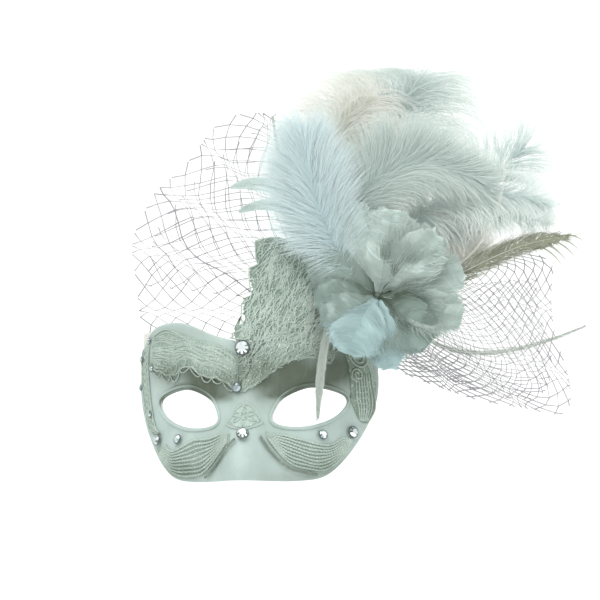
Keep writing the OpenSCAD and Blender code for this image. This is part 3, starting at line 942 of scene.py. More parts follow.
# %% Stone finishes
def cut_glass():
    look = Look("cut_glass")
    # The colour of each facet is a painted reflection, from near black to near white.
    facet = look.value("facet")
    colour = look.ramp(
        facet, (0.0, (0.05, 0.07, 0.07)), (0.45, (0.42, 0.52, 0.54)), (0.8, (0.93, 0.99, 1.0)),
    )
    return look.set(
        Base_Color=colour, Roughness=0.06, Metallic=0.55, Coat_Weight=1.0, Coat_Roughness=0.03,
    )


stone_glass = cut_glass()
stone_foil = grained(
    "foil_rim", (1500, 2), (0.06, 0.08, 0.07), (0.20, 0.24, 0.22), Roughness=0.35, Metallic=0.6,
)


# %% Cut the stones
def stone_places(node):
    """(centre, radius) of each separate solid in a node."""
    bm = merged_copy(node)
    left = set(bm.verts)
    found = []
    while left:
        group = {left.pop()}
        front = set(group)
        while front:
            front = {e.other_vert(v) for v in front for e in v.link_edges} - group
            group |= front
        left -= group
        centre = sum((v.co for v in group), Vector()) / len(group)
        found.append((centre, max((v.co - centre).length for v in group)))
    bm.free()
    return sorted(found, key=lambda f: (round(f[0].z, 5), f[0].x))


def cut_stone(bm, centre, normal, radius, seed, bright):
    """One stone, seated on its foil, turned to face along the normal."""
    pick = random.Random(seed)
    facet = number_layer(bm.faces, "facet")
    turn = normal.to_track_quat("Z", "Y").to_matrix().to_4x4()
    turn.translation = centre
    before = set(bm.faces)
    bmesh.ops.create_cone(
        bm, segments=20, radius1=1.08 * radius, radius2=0.98 * radius, depth=0.22 * radius,
        cap_ends=True,
    )
    foil = set(bm.faces) - before
    before = set(bm.faces)
    crown = bmesh.ops.create_cone(
        bm, segments=8, radius1=0.97 * radius, radius2=0.52 * radius, depth=0.36 * radius,
        cap_ends=True,
    )["verts"]
    bmesh.ops.translate(bm, verts=crown, vec=(0, 0, 0.27 * radius))
    ridges = [
        e for e in {e for v in crown for e in v.link_edges}
        if abs(e.verts[0].co.z - e.verts[1].co.z) > 0.1 * radius
    ]
    bmesh.ops.bevel(
        bm, geom=ridges, offset=0.16 * radius, segments=1, profile=0.5, affect="EDGES", material=-1,
    )
    stone = set(bm.faces) - before
    for face in foil:
        face.material_index = 1
    # A set has no order of its own, so the facets take their draws in order of place. Each draw is a
    # painted reflection, and the table facet gets a bright one.
    for face in sorted(stone, key=lambda f: [round(v, 6) for v in f.calc_center_median()]):
        face.material_index = 0
        face[facet] = pick.choice((0.05, 0.3, 0.55, 0.8, 1.0)) * bright
        if face.normal.z > 0.98:
            face[facet] = 0.9 * bright
    verts = {v for f in foil | stone for v in f.verts}
    bmesh.ops.transform(bm, matrix=turn, verts=list(verts))


# How bright the painted reflections on each group of stones are.
STONES = {
    "brow_stone": 1.0, "bridge_stone": 0.45, "nose_stone": 0.95, "temple_stones": 0.7,
    "cheek_stones_left": 0.75, "cheek_stones_right": 0.85,
}
for node, bright in STONES.items():
    bm = bmesh.new()
    for index, (centre, radius) in enumerate(stone_places(node)):
        found = on_surface(shell_tree, centre.x, centre.z)
        normal = found[1] if found else Vector((math.copysign(0.8, centre.x), -0.6, 0))
        cut_stone(bm, centre, normal, radius, index + len(node), bright)
    keep(finished(f"{node}_cut", bm, [stone_glass, stone_foil], smooth=False), node)

# %% [markdown]
# ## The crest
# The crest is the same lace, stiffened so that it stands. Its threads run up and outwards from the
# forehead, and its free edge is stepped and scalloped. The CAD leaf gives its surface and its edges;
# the ground is cut to scallops by letting its edge points wander, and long threads cross it.

# %% Crest lace
BROW_LACE_T = 1.3 * MM
crest_tree = surface_tree("lace_crest")
leaf = Leaf("lace_crest", crest_tree, up=True)
bm = bmesh.new()
ground(bm, leaf, 70, 80, 0.2 * MM, 0.7 * MM, 41, ragged=0.02, scallop=STEP_OUT)
worked_tree = BVHTree.FromBMesh(bm)


def foremost(x, z, lift):
    """The first surface met there, of the crest's ground and the lace on the shell."""
    hits = [on_surface(worked_tree, x, z, lift), on_surface(shell_tree, x, z, lift + BROW_LACE_T)]
    hits = [hit for hit in hits if hit is not None]
    return min(hits, key=lambda hit: hit[0].y) if hits else None


def stitch(x, z, heading, length, curve, lift, count=14):
    """One thread from a place in mm, along a heading in degrees that turns by curve."""
    found = []
    for u in np.linspace(0, 1, count):
        found.append(foremost(x * MM, z * MM, lift))
        angle = math.radians(heading + curve * u)
        x += math.cos(angle) * length / count
        z += math.sin(angle) * length / count
    return traced(found, count - 3, count)


low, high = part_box("lace_crest")
stitches = []
for _ in range(1150):
    x = (low.x - STEP_OUT + (high.x - low.x + STEP_OUT) * rng.random() ** 1.25) / MM
    z = rng.uniform(34, high.z / MM - 1)
    heading = 68 - 0.3 * (x - 10) + rng.gauss(0, 13)
    stitches.append(stitch(x, z, heading, rng.uniform(5, 20), rng.gauss(0, 42), 0.45 * MM))
for _ in range(330):
    u = rng.random()
    x = 62 * u - 5
    z = 34 + 22 * u + rng.uniform(-20, 4)
    heading = 52 - 12 * u + rng.gauss(0, 18)
    stitches.append(stitch(x, z, heading, rng.uniform(4, 11), rng.gauss(0, 60), 0.4 * MM))
curls = []
for _ in range(160):
    x = rng.uniform(low.x / MM, high.x / MM)
    z = rng.uniform(38, high.z / MM - 4)
    curls.append(stitch(x, z, rng.uniform(0, 360), rng.uniform(5, 9), 300, 0.5 * MM))
cords(bm, stitches, 0.36 * MM, sides=5, beads=0.15, seed=43)
cords(bm, curls, 0.36 * MM, sides=5, beads=0.15, seed=47)
edge = leaf.path([(s, 0.004) for s in np.linspace(0.01, 0.99, 120)], 0.4 * MM, 160)
for point, s in zip(edge[0], np.linspace(0.01, 0.99, 160)):
    point[0] -= STEP_OUT * stepped(s)
cords(bm, [edge], 0.55 * MM, beads=0.25, seed=61)
paint_shade(bm)
keep(finished("lace_crest_work", bm, [lace_thread, lace_ground]), "lace_crest")

# %% [markdown]
# ## Feather finishes
# A feather's colour follows its barbs, so it reads the numbers that growing left on them: how far
# along the barb a point lies and the barb's own tint. The root of the barb is a little darker, the
# tip almost white. It also reads painted shade: a tone that darkens a feather lying in shadow, and
# a darker colour at the feather's foot and along a fold. Sheen gives the soft bloom of down.

# %% Feather finishes
def barbs(name, root, tip, dark, foot):
    """Barbs that go from root to tip, some of them dark, darkened by tone as painted shade, and
    darkened to foot at the quill's end as painted shade.
    """
    look = Look(name)
    along = look.value("along")
    streak = look.speckle(500, 2, 0.6)
    colour = look.blend(along ** 0.8, root, tip)
    varied = look.blend(look.value("tint") * 0.5 * (1 - along * 0.6), colour, dark)
    # Painted shade: tone darkens a feather in shadow, and deep darkens its foot and one half along a
    # fold.
    toned = look.blend(look.value("tone"), varied, dark)
    foot_shade_painted = look.blend(look.value("deep"), toned, foot)
    look.bump(streak, 0.25, 0.0002)
    return look.set(
        Base_Color=foot_shade_painted, Roughness=0.7, Specular_IOR_Level=0.3, Sheen_Weight=0.25,
        Sheen_Roughness=0.4,
    )


PETAL_FOOT_SHADE = (0.09, 0.125, 0.09)
# The root, the tip, the dark barbs and the foot of each kind of feather. The foot is painted shade at
# the quill's end, and the dark colour is also the painted shade that tone lays on. petal is a darker
# copy of petal_light: painted shade for the petals that lie in shadow.
BARBS = {
    "petal": ((0.37, 0.47, 0.43), (0.52, 0.64, 0.60), (0.21, 0.29, 0.26), PETAL_FOOT_SHADE),
    "petal_blue": ((0.41, 0.57, 0.57), (0.50, 0.67, 0.67), (0.24, 0.34, 0.33), PETAL_FOOT_SHADE),
    "petal_light": ((0.50, 0.61, 0.57), (0.66, 0.77, 0.73), (0.28, 0.37, 0.33), PETAL_FOOT_SHADE),
    "plume": ((0.58, 0.70, 0.68), (0.86, 0.91, 0.88), (0.42, 0.52, 0.48), (0.34, 0.42, 0.37)),
    "plume_blue": ((0.60, 0.75, 0.78), (0.76, 0.86, 0.86), (0.40, 0.51, 0.50), (0.36, 0.46, 0.43)),
    "grey": ((0.40, 0.46, 0.41), (0.62, 0.67, 0.62), (0.25, 0.30, 0.26), (0.20, 0.26, 0.20)),
    "cream": ((0.68, 0.71, 0.63), (0.93, 0.93, 0.88), (0.64, 0.63, 0.55), (0.36, 0.31, 0.20)),
    "olive": ((0.32, 0.35, 0.25), (0.50, 0.54, 0.45), (0.20, 0.21, 0.14), (0.16, 0.17, 0.11)),
}
barb_looks = {kind: barbs(f"{kind}_barbs", *colours) for kind, colours in BARBS.items()}
quill_horn = grained(
    "quill", (300, 2), (0.50, 0.55, 0.48), (0.72, 0.75, 0.68), Roughness=0.4,
)

# %% [markdown]
# ## Reading a feather's CAD solid
# Each feather's CAD solid is a row of rings from quill to tip. A ring's middle is on the quill, its
# longest span is the vane's width, and how its edges stand off its middle is the vane's cup. A
# `Vane` holds those as smooth curves, so that barbs can be placed anywhere on it.

# %% Vane
flower_low, flower_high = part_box("stem_binding")
FLOWER = (flower_low + flower_high) / 2


class Vane:
    """The centre line, width, facing and cup of a feather, from its CAD solid."""

    def __init__(self, node):
        centres, spans, halves, cups = [], [], [], []
        for ring in rings_of(node, FLOWER):
            points = np.array([list(p) for p in ring])
            centre = points.mean(axis=0)
            offset = points - centre
            apart = np.linalg.norm(points[:, None] - points[None], axis=2)
            a, b = np.unravel_index(apart.argmax(), apart.shape)
            span = (points[b] - points[a]) / apart[a, b]
            if spans and np.dot(span, spans[-1]) < 0:
                span = -span
            reach = np.abs(offset @ span)
            outer = points[reach > 0.7 * reach.max()].mean(axis=0)
            inner = points[reach <= 0.7 * reach.max()].mean(axis=0)
            centres.append(inner)
            spans.append(span)
            halves.append(reach.max())
            cups.append(outer - inner)
        self.centres = np.array(centres)
        self.spans = np.array(spans)
        self.halves = np.array(halves)
        self.cups = np.array(cups)
        self.length = np.linalg.norm(np.diff(self.centres, axis=0), axis=1).sum()

    def sample(self, table, t):
        """A table's value at t from 0, the quill's end, to 1, the tip."""
        return smooth_at(table, np.clip(t, 0, 1) * (len(table) - 1))

    def frame_at(self, t):
        """Centre, direction, side and front at many places along the feather."""
        centre = self.sample(self.centres, t)
        ahead = unit_rows(
            self.sample(self.centres, np.minimum(t + 0.02, 1))
            - self.sample(self.centres, np.maximum(t - 0.02, 0))
        )
        side = unit_rows(self.sample(self.spans, t))
        front = unit_rows(np.cross(side, ahead))
        flip = np.where(front[:, 1] > 0, -1.0, 1.0)[:, None]
        return centre, ahead, side, front * flip


# %% [markdown]
# ## Growing barbs
# Barbs leave the quill at an angle and bend towards the tip. On a petal they are wide and lie close
# together, so that they make one smooth surface; on an ostrich plume they are thin, long and loose,
# and they clump, curl and droop. One function does both, with those as its settings.

# %% Grow the barbs of one feather
def wander(t, seed, pitch):
    """Smooth noise along a feather, so that neighbouring barbs stay together."""
    return np.array([noise.noise(Vector((x * pitch, seed * 7.31, 0.5))) for x in t])


# Barbs that would stand out past the tallest or the furthest quill bend over instead.
BEND_INSIDE = 6 * MM
BEND_ROOM = 17 * MM


def bent_over(points):
    for axis in range(3):
        over = np.maximum(points[..., axis] - (cad_box[1][axis] - BEND_INSIDE), 0)
        points[..., axis] -= over - BEND_ROOM * np.tanh(over / BEND_ROOM)
    return points


def feather_barbs(
    bm, vane, count, seed, start=0.12, root_angle=52, tip_angle=14, bend=-20, half=0.12, reach=1.0,
    steps=7, clump=0.2, loose=0.1, droop=0.0, curl=0.0, uneven=0.12, layers=0.0, tone=0.0,
    shade=0.4, longest=3.0,
):
    """Grow count barbs a side. Angles are in degrees, half is a barb's half width in mm.

    reach and longest are in half widths of the feather, layers is how deep the coat is in mm, and
    shade is how dark the painted shade at the feather's foot is.
    """
    dice = np.random.default_rng(seed)
    for hand in (-1.0, 1.0):
        t = start + (1 - start) * np.sort(dice.random(count)) * 0.995
        centre, ahead, side, front = vane.frame_at(t)
        width = vane.sample(vane.halves, t)[:, 0]
        cup = vane.sample(vane.cups, t)
        share = (t - start) / (1 - start)
        bunch = wander(t, seed + hand, 26)
        angle = np.radians(
            root_angle + (tip_angle - root_angle) * share
            + clump * 40 * bunch + loose * 50 * dice.normal(size=count)
        )
        length = reach * width / np.maximum(np.sin(np.abs(angle) + 0.12), 0.3)
        length *= 1 + uneven * dice.normal(size=count) + clump * 0.6 * wander(t, seed + 5, 40)
        length = np.clip(length, 0.6 * MM, longest * vane.halves.max() * (1.1 - 0.5 * share))
        lift = layers * dice.normal(size=count) * MM
        rolled = curl * (0.5 + dice.random(count))
        twist = dice.normal(size=count) * loose
        place = centre + front * lift[:, None]
        spine = [place.copy()]
        along = np.linspace(0, 1, steps + 1)
        for k in range(1, steps + 1):
            u = along[k]
            turned = angle + np.radians(bend) * u + rolled * u ** 2
            way = (
                np.cos(turned)[:, None] * ahead
                + (hand * np.sin(turned))[:, None] * side
                + (twist * u + clump * 0.5 * bunch * u)[:, None] * front
            )
            way[:, 2] -= droop * u ** 1.5
            place = place + unit_rows(way) * (length / steps)[:, None]
            spine.append(place.copy())
        spine = np.array(spine)
        sway = np.abs(np.einsum("kij,ij->ki", spine - centre, side)) / np.maximum(width, 1e-6)
        spine = bent_over(spine + cup[None] * np.minimum(sway, 1.2)[:, :, None] ** 2)
        direction = unit_rows(np.gradient(spine, axis=0))
        flat = unit_rows(np.cross(direction, front[None] + 0.5 * dice.normal(
            size=(1, count, 3)) * loose))
        taper = half * MM * np.minimum(1, (1.02 - along) * 2.5) * np.minimum(1, along * 4 + 0.6)
        rows = np.stack(
            [spine - flat * taper[:, None, None], spine + flat * taper[:, None, None]], axis=2,
        )
        tint = dice.random(count) * 0.6 + 0.5 * (bunch * 0.5 + 0.5)
        # Painted shade at the feather's foot.
        deep = shade * np.clip(1 - t / 0.5, 0, 1) ** 1.5
        grow(bm, rows, False, tint, deep=deep, tone=tone)


def web_surface(vane, t, w, ripple, seed, foot_half):
    """Points on a feather's blade: t along the quill and w from -1 to 1 across it."""
    centre, _, side, front = vane.frame_at(t)
    half = vane.sample(vane.halves, t)
    half = np.where(t[:, None] < 0.5, np.maximum(half, foot_half * MM), half)
    cup = vane.sample(vane.cups, t)
    foot = np.clip(t, None, 0)[:, None] * vane.length * vane.frame_at(np.zeros_like(t))[1]
    wave_height = np.array([
        noise.noise(Vector((a * 5, b * 1.6, seed * 3.7))) * abs(b) for a, b in zip(t, w)
    ])
    past = np.clip(t - 1, 0, None)[:, None] * vane.length
    ahead = vane.frame_at(np.ones_like(t))[1]
    return (
        centre + side * half * w[:, None] + cup * (w ** 2)[:, None]
        + front * (ripple * MM * wave_height)[:, None] + ahead * past + foot
    )


def feather_web(
    bm, vane, count, seed, start=0.06, lag=0.3, half=0.5, steps=8, uneven=0.04, ripple=1.5,
    lift=0.12, split=0.1, reach=1.0, stray=0.0, tone=0.0, shade=0.0, foot=0.0, fold=0.0,
):
    """Barbs that lie on the feather's blade, from the quill out to the blade's own edge.

    lag is how far up the blade a barb travels on its way out, half its half width in mm,
    stray how far its end leaves the blade in mm, shade how dark the painted shade at the feather's
    foot is and foot the least half width there in mm. fold darkens one half as painted shade, the
    shade that a crease along the quill casts.
    """
    dice = np.random.default_rng(seed)
    along = np.linspace(0, 1, steps + 1)
    for hand in (-1.0, 1.0):
        first = start + (0.985 - start) * np.linspace(0, 1, count) ** 0.9
        first = first + 0.3 / count * dice.normal(size=count)
        notch = split * np.round(3 * wander(first, seed + hand * 2, 9)) / 3
        travel = lag * np.clip(1 - first, 0, 1) ** 0.75
        travel = travel * (1 + uneven * dice.normal(size=count)) + notch
        wide = reach * (1 + uneven * dice.normal(size=count) + 0.1 * wander(first, seed, 30))
        height = lift * dice.normal(size=count) * MM
        wild = stray * dice.normal(size=count) * MM
        slant = half * MM / vane.length / 0.6
        rows = []
        for u in along:
            taper = min(1.0, (1.04 - u) * 4) * slant
            w = hand * math.sin(u * math.pi / 2) ** 0.9 * wide
            t = first + travel * u ** 1.4
            pair = []
            for edge in (-1, 1):
                points = web_surface(vane, t + edge * taper, w, ripple, seed, foot)
                front = vane.frame_at(t)[3]
                pair.append(points + front * (height + wild * u ** 2)[:, None])
            rows.append(np.stack(pair, axis=1))
        tint = dice.random(count) * 0.6 + 0.4 * np.abs(wander(first, seed + 11, 12))
        # Painted shade: darker at the feather's foot, and on one half of the blade for a fold.
        deep = shade * np.clip(1 - first / 0.4, 0, 1) ** 1.5
        deep += np.clip(hand * fold, 0, 1) * np.clip(1 - first, 0, 1)
        grow(bm, np.stack(rows), False, tint, deep=np.minimum(deep, 1), tone=tone)


def quill(bm, vane, radius, start, end, skin, tone):
    """The tapered quill down the middle of a feather."""
    t = np.linspace(start, end, 26)
    centre, _, _, front = vane.frame_at(t)
    radii = radius * MM * (1 - 0.85 * t / end)
    centre = centre + front * 0.1 * MM
    rows = tube_rows(centre[:, None], front[:, None], radii[:, None], 6)
    grow(bm, rows, True, skin=skin, tone=tone)


def feather(node, kind, coats, quill_radius, quill_end=0.96, horn=True, quill_start=0.0):
    """A whole feather: one or more coats of barbs on a quill. A coat with a lag is a web."""
    vane = Vane(node)
    bm = bmesh.new()
    for coat in coats:
        (feather_web if "lag" in coat else feather_barbs)(bm, vane, **coat)
    quill(bm, vane, quill_radius, quill_start, quill_end, int(horn), coats[0].get("tone", 0.0))
    keep(finished(f"{node}_barbs", bm, [barb_looks[kind], quill_horn]), node)


# %% [markdown]
# ## The flower
# The petals are goose feathers, curved and trimmed. Their barbs are hooked together, so each petal
# is a smooth cupped blade with fine streaks, a split or two and a soft ragged edge. A second coat
# of thin free barbs makes that edge.

# %% Petals
# Each petal's kind, how dark it is (painted shade for a petal in the shadow of others), how dark
# its foot is (painted shadow at the flower's centre), how far its soft edge reaches, how much its
# blade ripples in mm, and how dark the painted shade of the fold along its quill is and on which
# side.
PETALS = {
    "petal_right": ("petal_light", 0.2, 0.9, 1.15, 3.0, 0.5),
    "petal_upper_right": ("petal_light", 0.05, 0.9, 1.2, 3.0, 0.55),
    "petal_lower_right": ("petal", 0.6, 0.9, 1.1, 3.5, -0.4),
    "petal_top_right": ("petal_light", 0.1, 0.7, 1.3, 1.8, 0.4),
    "petal_top_left": ("petal_light", 0.0, 0.4, 1.5, 1.2, 0.15),
    "petal_left": ("petal", 0.3, 0.5, 1.4, 1.5, -0.3),
    "petal_top": ("petal_light", 0.0, 0.35, 1.5, 1.2, -0.12),
    "petal_bottom": ("petal_blue", 0.0, 0.0, 1.08, 1.5, 0.0),
    "petal_left_low": ("petal", 0.5, 0.6, 1.2, 2.0, 0.35),
    "petal_inner_left": ("petal", 0.4, 0.4, 1.2, 2.5, -0.3),
    "petal_lower_left": ("petal_blue", 0.0, 0.15, 1.06, 1.6, 0.12),
}
for index, (node, (kind, tone, shade, soft, ripple, fold)) in enumerate(PETALS.items()):
    webbed = dict(
        count=120, seed=100 + index, start=-0.085, lag=0.34, half=0.5, ripple=ripple, tone=tone,
        shade=shade, split=0.1, uneven=0.06, foot=4.2, fold=fold,
    )
    soft_edge = dict(
        count=460, seed=200 + index, start=0.02, lag=0.44, half=0.08, ripple=ripple, reach=soft,
        uneven=0.22, lift=0.4, stray=1.8, steps=6, tone=tone, shade=shade, foot=3, fold=fold,
    )
    feather(node, kind, [webbed, soft_edge], 0.3, 0.7, horn=False)

# %% [markdown]
# The petals' stems are wound together with floral tape, and a felt pad behind them is glued to the
# crest. The tape is a cone of overlapping turns: its CAD solid is replaced by a spun profile with a
# step for each turn.

# %% Binding and pad
# The tape is dark green floral tape, darkened further as painted shadow at the flower's centre.
floral_tape = grained(
    "floral_tape", (700, 4, 0.7), (0.07, 0.095, 0.07), (0.16, 0.20, 0.16), (0.7, 0.0005),
    (1, 5, 1), Roughness=0.8,
)


def felt_look():
    look = Look("wool_felt")
    wool = look.speckle(500, 6, 0.8)
    clumps = look.speckle(120, 3, 0.5)
    look.bump(wool + clumps, 0.9, 0.0008)
    return look.set(
        Base_Color=look.ramp(wool, (0.3, (0.58, 0.62, 0.58)), (0.7, (0.80, 0.83, 0.79))),
        Roughness=0.95, Sheen_Weight=0.3,
    )


TAPE_TURNS = 6
wide = (flower_high.x - flower_low.x) / 2
deep = flower_high.y - flower_low.y
bm = bmesh.new()
profile = [bm.verts.new((0, flower_high.y, 0))]
for step in range(TAPE_TURNS):
    near = flower_high.y - deep * step / TAPE_TURNS
    far = flower_high.y - deep * (step + 0.9) / TAPE_TURNS
    size = wide * (1 - 0.8 * step / TAPE_TURNS)
    profile += [bm.verts.new((size * 0.93, near, 0)), bm.verts.new((size, far, 0))]
profile.append(bm.verts.new((0, flower_low.y, 0)))
lines = [bm.edges.new(pair) for pair in zip(profile, profile[1:])]
bmesh.ops.spin(
    bm, geom=lines + profile, cent=(0, 0, 0), axis=(0, 1, 0), angle=2 * math.pi, steps=28,
    use_merge=True,
)
bmesh.ops.remove_doubles(bm, verts=bm.verts, dist=1e-6)
bmesh.ops.recalc_face_normals(bm, faces=bm.faces)
bmesh.ops.translate(bm, verts=bm.verts, vec=(FLOWER.x, 0, FLOWER.z))
keep(finished("stem_binding_tape", bm, [floral_tape]), "stem_binding")

bm = merged_copy("felt_pad")
rim = [e for e in bm.edges if len(e.link_faces) == 2 and e.calc_face_angle(0) > 1.0]
bmesh.ops.bevel(
    bm, geom=rim, offset=0.5 * MM, segments=3, profile=0.5, affect="EDGES", material=-1,
)
keep(finished("felt_pad_soft", bm, [felt_look()]), "felt_pad")

# %% [markdown]
# ## The plumes
# Ostrich barbs are long, thin and free of each other. They clump into soft locks, bend over at
# their ends and hang a little. Each plume has a coat of long barbs and a finer coat that fills it.

# %% Plumes
def plume_coats(seed, fine=1.0, **changes):
    long_barbs = dict(
        count=int(900 * fine), seed=seed, start=0.14, root_angle=50, tip_angle=12, bend=14,
        half=0.13, reach=1.12, steps=10, clump=0.45, loose=0.13, droop=0.12, curl=0.25,
        uneven=0.16, layers=1.2,
    )
    fill = dict(
        count=int(1300 * fine), seed=seed + 50, start=0.12, root_angle=58, tip_angle=16, bend=0,
        half=0.08, reach=0.95, steps=7, clump=0.3, loose=0.22, droop=0.1, curl=0.4,
        uneven=0.22, layers=2.0,
    )
    for coat in (long_barbs, fill):
        coat.update(changes)
    return [long_barbs, fill]


# A plume's tone darkens it as painted shade where it lies in shadow, and its shade is painted shade
# at its foot.
PLUMES = {
    "plume_top": ("plume", "plume", plume_coats(
        301, 0.5, start=0.3, curl=1.3, reach=2.3, loose=0.22, clump=1.1, uneven=0.35, droop=0.35,
        longest=5, half=0.1, tone=0.25)),
    "plume_back": ("cream", "cream_plume", plume_coats(
        302, 0.55, start=0.15, curl=2.2, reach=2.3, loose=0.3, clump=1.2, uneven=0.4,
        longest=4, half=0.09, shade=0.2)),
    "plume_left": ("plume_blue", "plume", plume_coats(
        303, 1.7, start=0.05, curl=0.3, reach=1.25, clump=0.6, uneven=0.25)),
    "plume_centre": ("plume", "plume", plume_coats(
        304, 1.5, start=0.05, curl=0.35, tone=0.45, clump=0.6, reach=1.75, uneven=0.25)),
    "plume_right": ("plume", "plume", plume_coats(
        305, 0.5, start=0.06, curl=1.2, tone=0.0, clump=1.2, uneven=0.4, reach=1.5, half=0.1,
        shade=0.2)),
    "plume_right_low": ("plume", "plume", plume_coats(
        306, 0.3, start=0.2, tone=0.05, clump=1.2, uneven=0.4, reach=1.3, curl=1.2)),
    "wisp_feather": ("plume", "plume", plume_coats(
        307, 0.16, start=0.35, tip_angle=20, clump=1.0, loose=0.05, uneven=0.35, curl=0.6,
        reach=1.6, half=0.16)),
    "fluff_tuft": ("cream", "cream_plume", plume_coats(
        308, 0.8, start=0.08, curl=2.0, loose=0.35, tone=0.15, shade=1.0, reach=1.7, half=0.09)),
}
for node, (kind, slot, coats) in PLUMES.items():
    feather(node, kind, coats, 0.5)

# %% [markdown]
# ## Biots and hackles
# These are narrow feathers. A biot is a stiff pointed blade cut from one edge of a flight feather;
# a hackle has short barbs that lie close to its quill and split at the tip.

# %% Biots and hackles
def blade(seed, **changes):
    coat = dict(count=80, seed=seed, lag=0.2, half=0.55, ripple=0.4, steps=5, split=0.02)
    coat.update(changes)
    return coat


# Each biot's kind, how dark it is as painted shade and how wide it is against its CAD solid.
BIOTS = {
    "eye_biot": ("grey", 0.3, 1.0), "side_biot_upper": ("petal_light", 0.0, 1.35),
    "side_biot_lower": ("petal_light", 0.0, 1.35), "spike_biot": ("grey", 0.4, 1.0),
}
for index, (node, (kind, tone, reach)) in enumerate(BIOTS.items()):
    fringe = blade(
        451 + index, count=120, half=0.08, reach=1.06 * reach, uneven=0.1, stray=0.2, tone=tone,
    )
    coats = [blade(401 + index, tone=tone, reach=reach), fringe]
    feather(node, kind, coats, 0.35, horn=False, quill_start=0.14)
feather("bare_quill", "cream", [blade(411, count=40, half=0.2)], 0.45)
feather(
    "hackle_olive", "olive", [
        blade(
            421, count=170, half=0.3, lag=0.35, split=0.25, uneven=0.2, ripple=2.0, stray=1.5,
            reach=1.4, tone=0.5,
        ),
        blade(
            422, count=300, half=0.09, lag=0.5, split=0.3, uneven=0.3, stray=1.2, reach=1.6,
            tone=0.3,
        ),
        dict(
            count=4, seed=425, start=0.6, root_angle=20, tip_angle=6, bend=10, half=0.6, reach=8,
            steps=12, clump=0.1, loose=0.2, droop=1.3, tone=0.2, longest=7,
        ),
    ], 0.5,
)
feather(
    "hackle_low", "grey", [
        blade(431, count=150, half=0.2, lag=0.25, uneven=0.15, stray=0.6, reach=0.5, tone=0.6),
        blade(432, count=160, half=0.08, lag=0.3, uneven=0.4, stray=1.2, reach=0.8, tone=0.4),
    ], 0.4,
)

# %% [markdown]
# ## Veiling
# Veiling is a net of thin stiff threads knotted into diamonds. It is gathered to a point and fanned
# out, so its cells narrow towards the gather. A grid is turned by 45 degrees and cut to an oblong;
# its edges are the threads. Each point is then carried to its place between the fan's gathered
# line and its far edge, and onto the CAD surface there.

# %% Fans of net
net_material = grained(
    "net_thread", (20, 2), (0.30, 0.28, 0.32), (0.46, 0.45, 0.47), stops=(0.35, 0.65),
    Roughness=0.6,
)
LINE_POINTS = 200
PLEATS = 5


def fan_lines(node):
    """The gathered line and the far edge of a fan, point for point."""
    bm = merged_copy(node)
    bm.normal_update()
    not_front = [f for f in bm.faces if f.normal.y > -0.35]
    bmesh.ops.delete(bm, geom=not_front, context="FACES")
    nearest = min(v.co.y for v in bm.verts)
    row = {v for v in bm.verts if v.co.y < nearest + 0.3 * MM}
    seen = set(row)
    rows = []
    while row:
        rows.append([v.co.copy() for v in row])
        row = {e.other_vert(v) for v in row for e in v.link_edges} - seen
        seen |= row
    bm.free()
    middle = sum(rows[0], Vector()) / len(rows[0])
    far_middle = sum(rows[-1], Vector()) / len(rows[-1])
    heading = math.atan2(far_middle.z - middle.z, far_middle.x - middle.x)

    def turn(point):
        angle = math.atan2(point.z - middle.z, point.x - middle.x) - heading
        return math.atan2(math.sin(angle), math.cos(angle))

    far = sorted(rows[-1], key=turn)
    upward = far[-1].z > far[0].z
    near = sorted(rows[0], key=lambda p: p.z if upward else -p.z)
    return [resampled([list(p) for p in line], LINE_POINTS) for line in (near, far)]


def veil(node, across, deep, thread, seed):
    """A net laid on a fan: across cells round the edge and deep cells out to it."""
    tree = surface_tree(node)
    near, far = fan_lines(node)
    edge_long = np.linalg.norm(np.diff(far, axis=0), axis=1).sum()
    middle_long = np.linalg.norm(far[LINE_POINTS // 2] - near[LINE_POINTS // 2])
    print(f"{node}: {middle_long * 1000:.0f} mm deep, {edge_long * 1000:.0f} mm round its edge")
    bm = bmesh.new()
    cells = across + deep
    bmesh.ops.create_grid(bm, x_segments=cells, y_segments=cells, size=cells / 2)
    bmesh.ops.rotate(
        bm, verts=bm.verts, cent=(0, 0, 0),
        matrix=Matrix.Rotation(math.radians(45), 3, "Z"),
    )
    for centre, normal in (
        ((across / 2, 0, 0), (1, 0, 0)), ((-across / 2, 0, 0), (-1, 0, 0)),
        ((0, deep / 2, 0), (0, 1, 0)), ((0, -deep / 2, 0), (0, -1, 0)),
    ):
        bmesh.ops.bisect_plane(
            bm, geom=bm.verts[:] + bm.edges[:] + bm.faces[:], plane_co=centre, plane_no=normal,
            clear_outer=True,
        )
    rim = [e for e in bm.edges if e.is_boundary and abs(e.verts[0].co.y + deep / 2) > 1e-4]
    bmesh.ops.delete(bm, geom=bm.faces[:], context="FACES_ONLY")
    bmesh.ops.delete(bm, geom=rim, context="EDGES_FACES")
    for vert in bm.verts:
        s = vert.co.x / across + 0.5
        t = vert.co.y / deep + 0.5
        s += 0.02 * math.sin(2 * math.pi * PLEATS * s + seed) * min(1, 1.5 * t)
        s += 0.008 * noise.noise(Vector((vert.co.x * 0.4, vert.co.y * 0.4, seed)))
        place = int(min(max(s, 0), 1) * (LINE_POINTS - 1))
        spot = Vector(near[place] + (far[place] - near[place]) * t ** 0.9)
        found = on_surface(tree, spot.x, spot.z) or tree.find_nearest(spot)
        vert.co = found[0]
    obj = finished(f"{node}_net", bm, [])
    bpy.ops.object.select_all(action="DESELECT")
    obj.select_set(True)
    bpy.context.view_layer.objects.active = obj
    bpy.ops.object.convert(target="CURVE")
    obj = bpy.context.view_layer.objects.active
    obj.data.bevel_depth = thread * MM
    obj.data.bevel_resolution = 0
    bpy.ops.object.convert(target="MESH")
    obj = bpy.context.view_layer.objects.active
    obj.data.materials.clear()
    obj.data.materials.append(net_material)
    keep(obj, node)


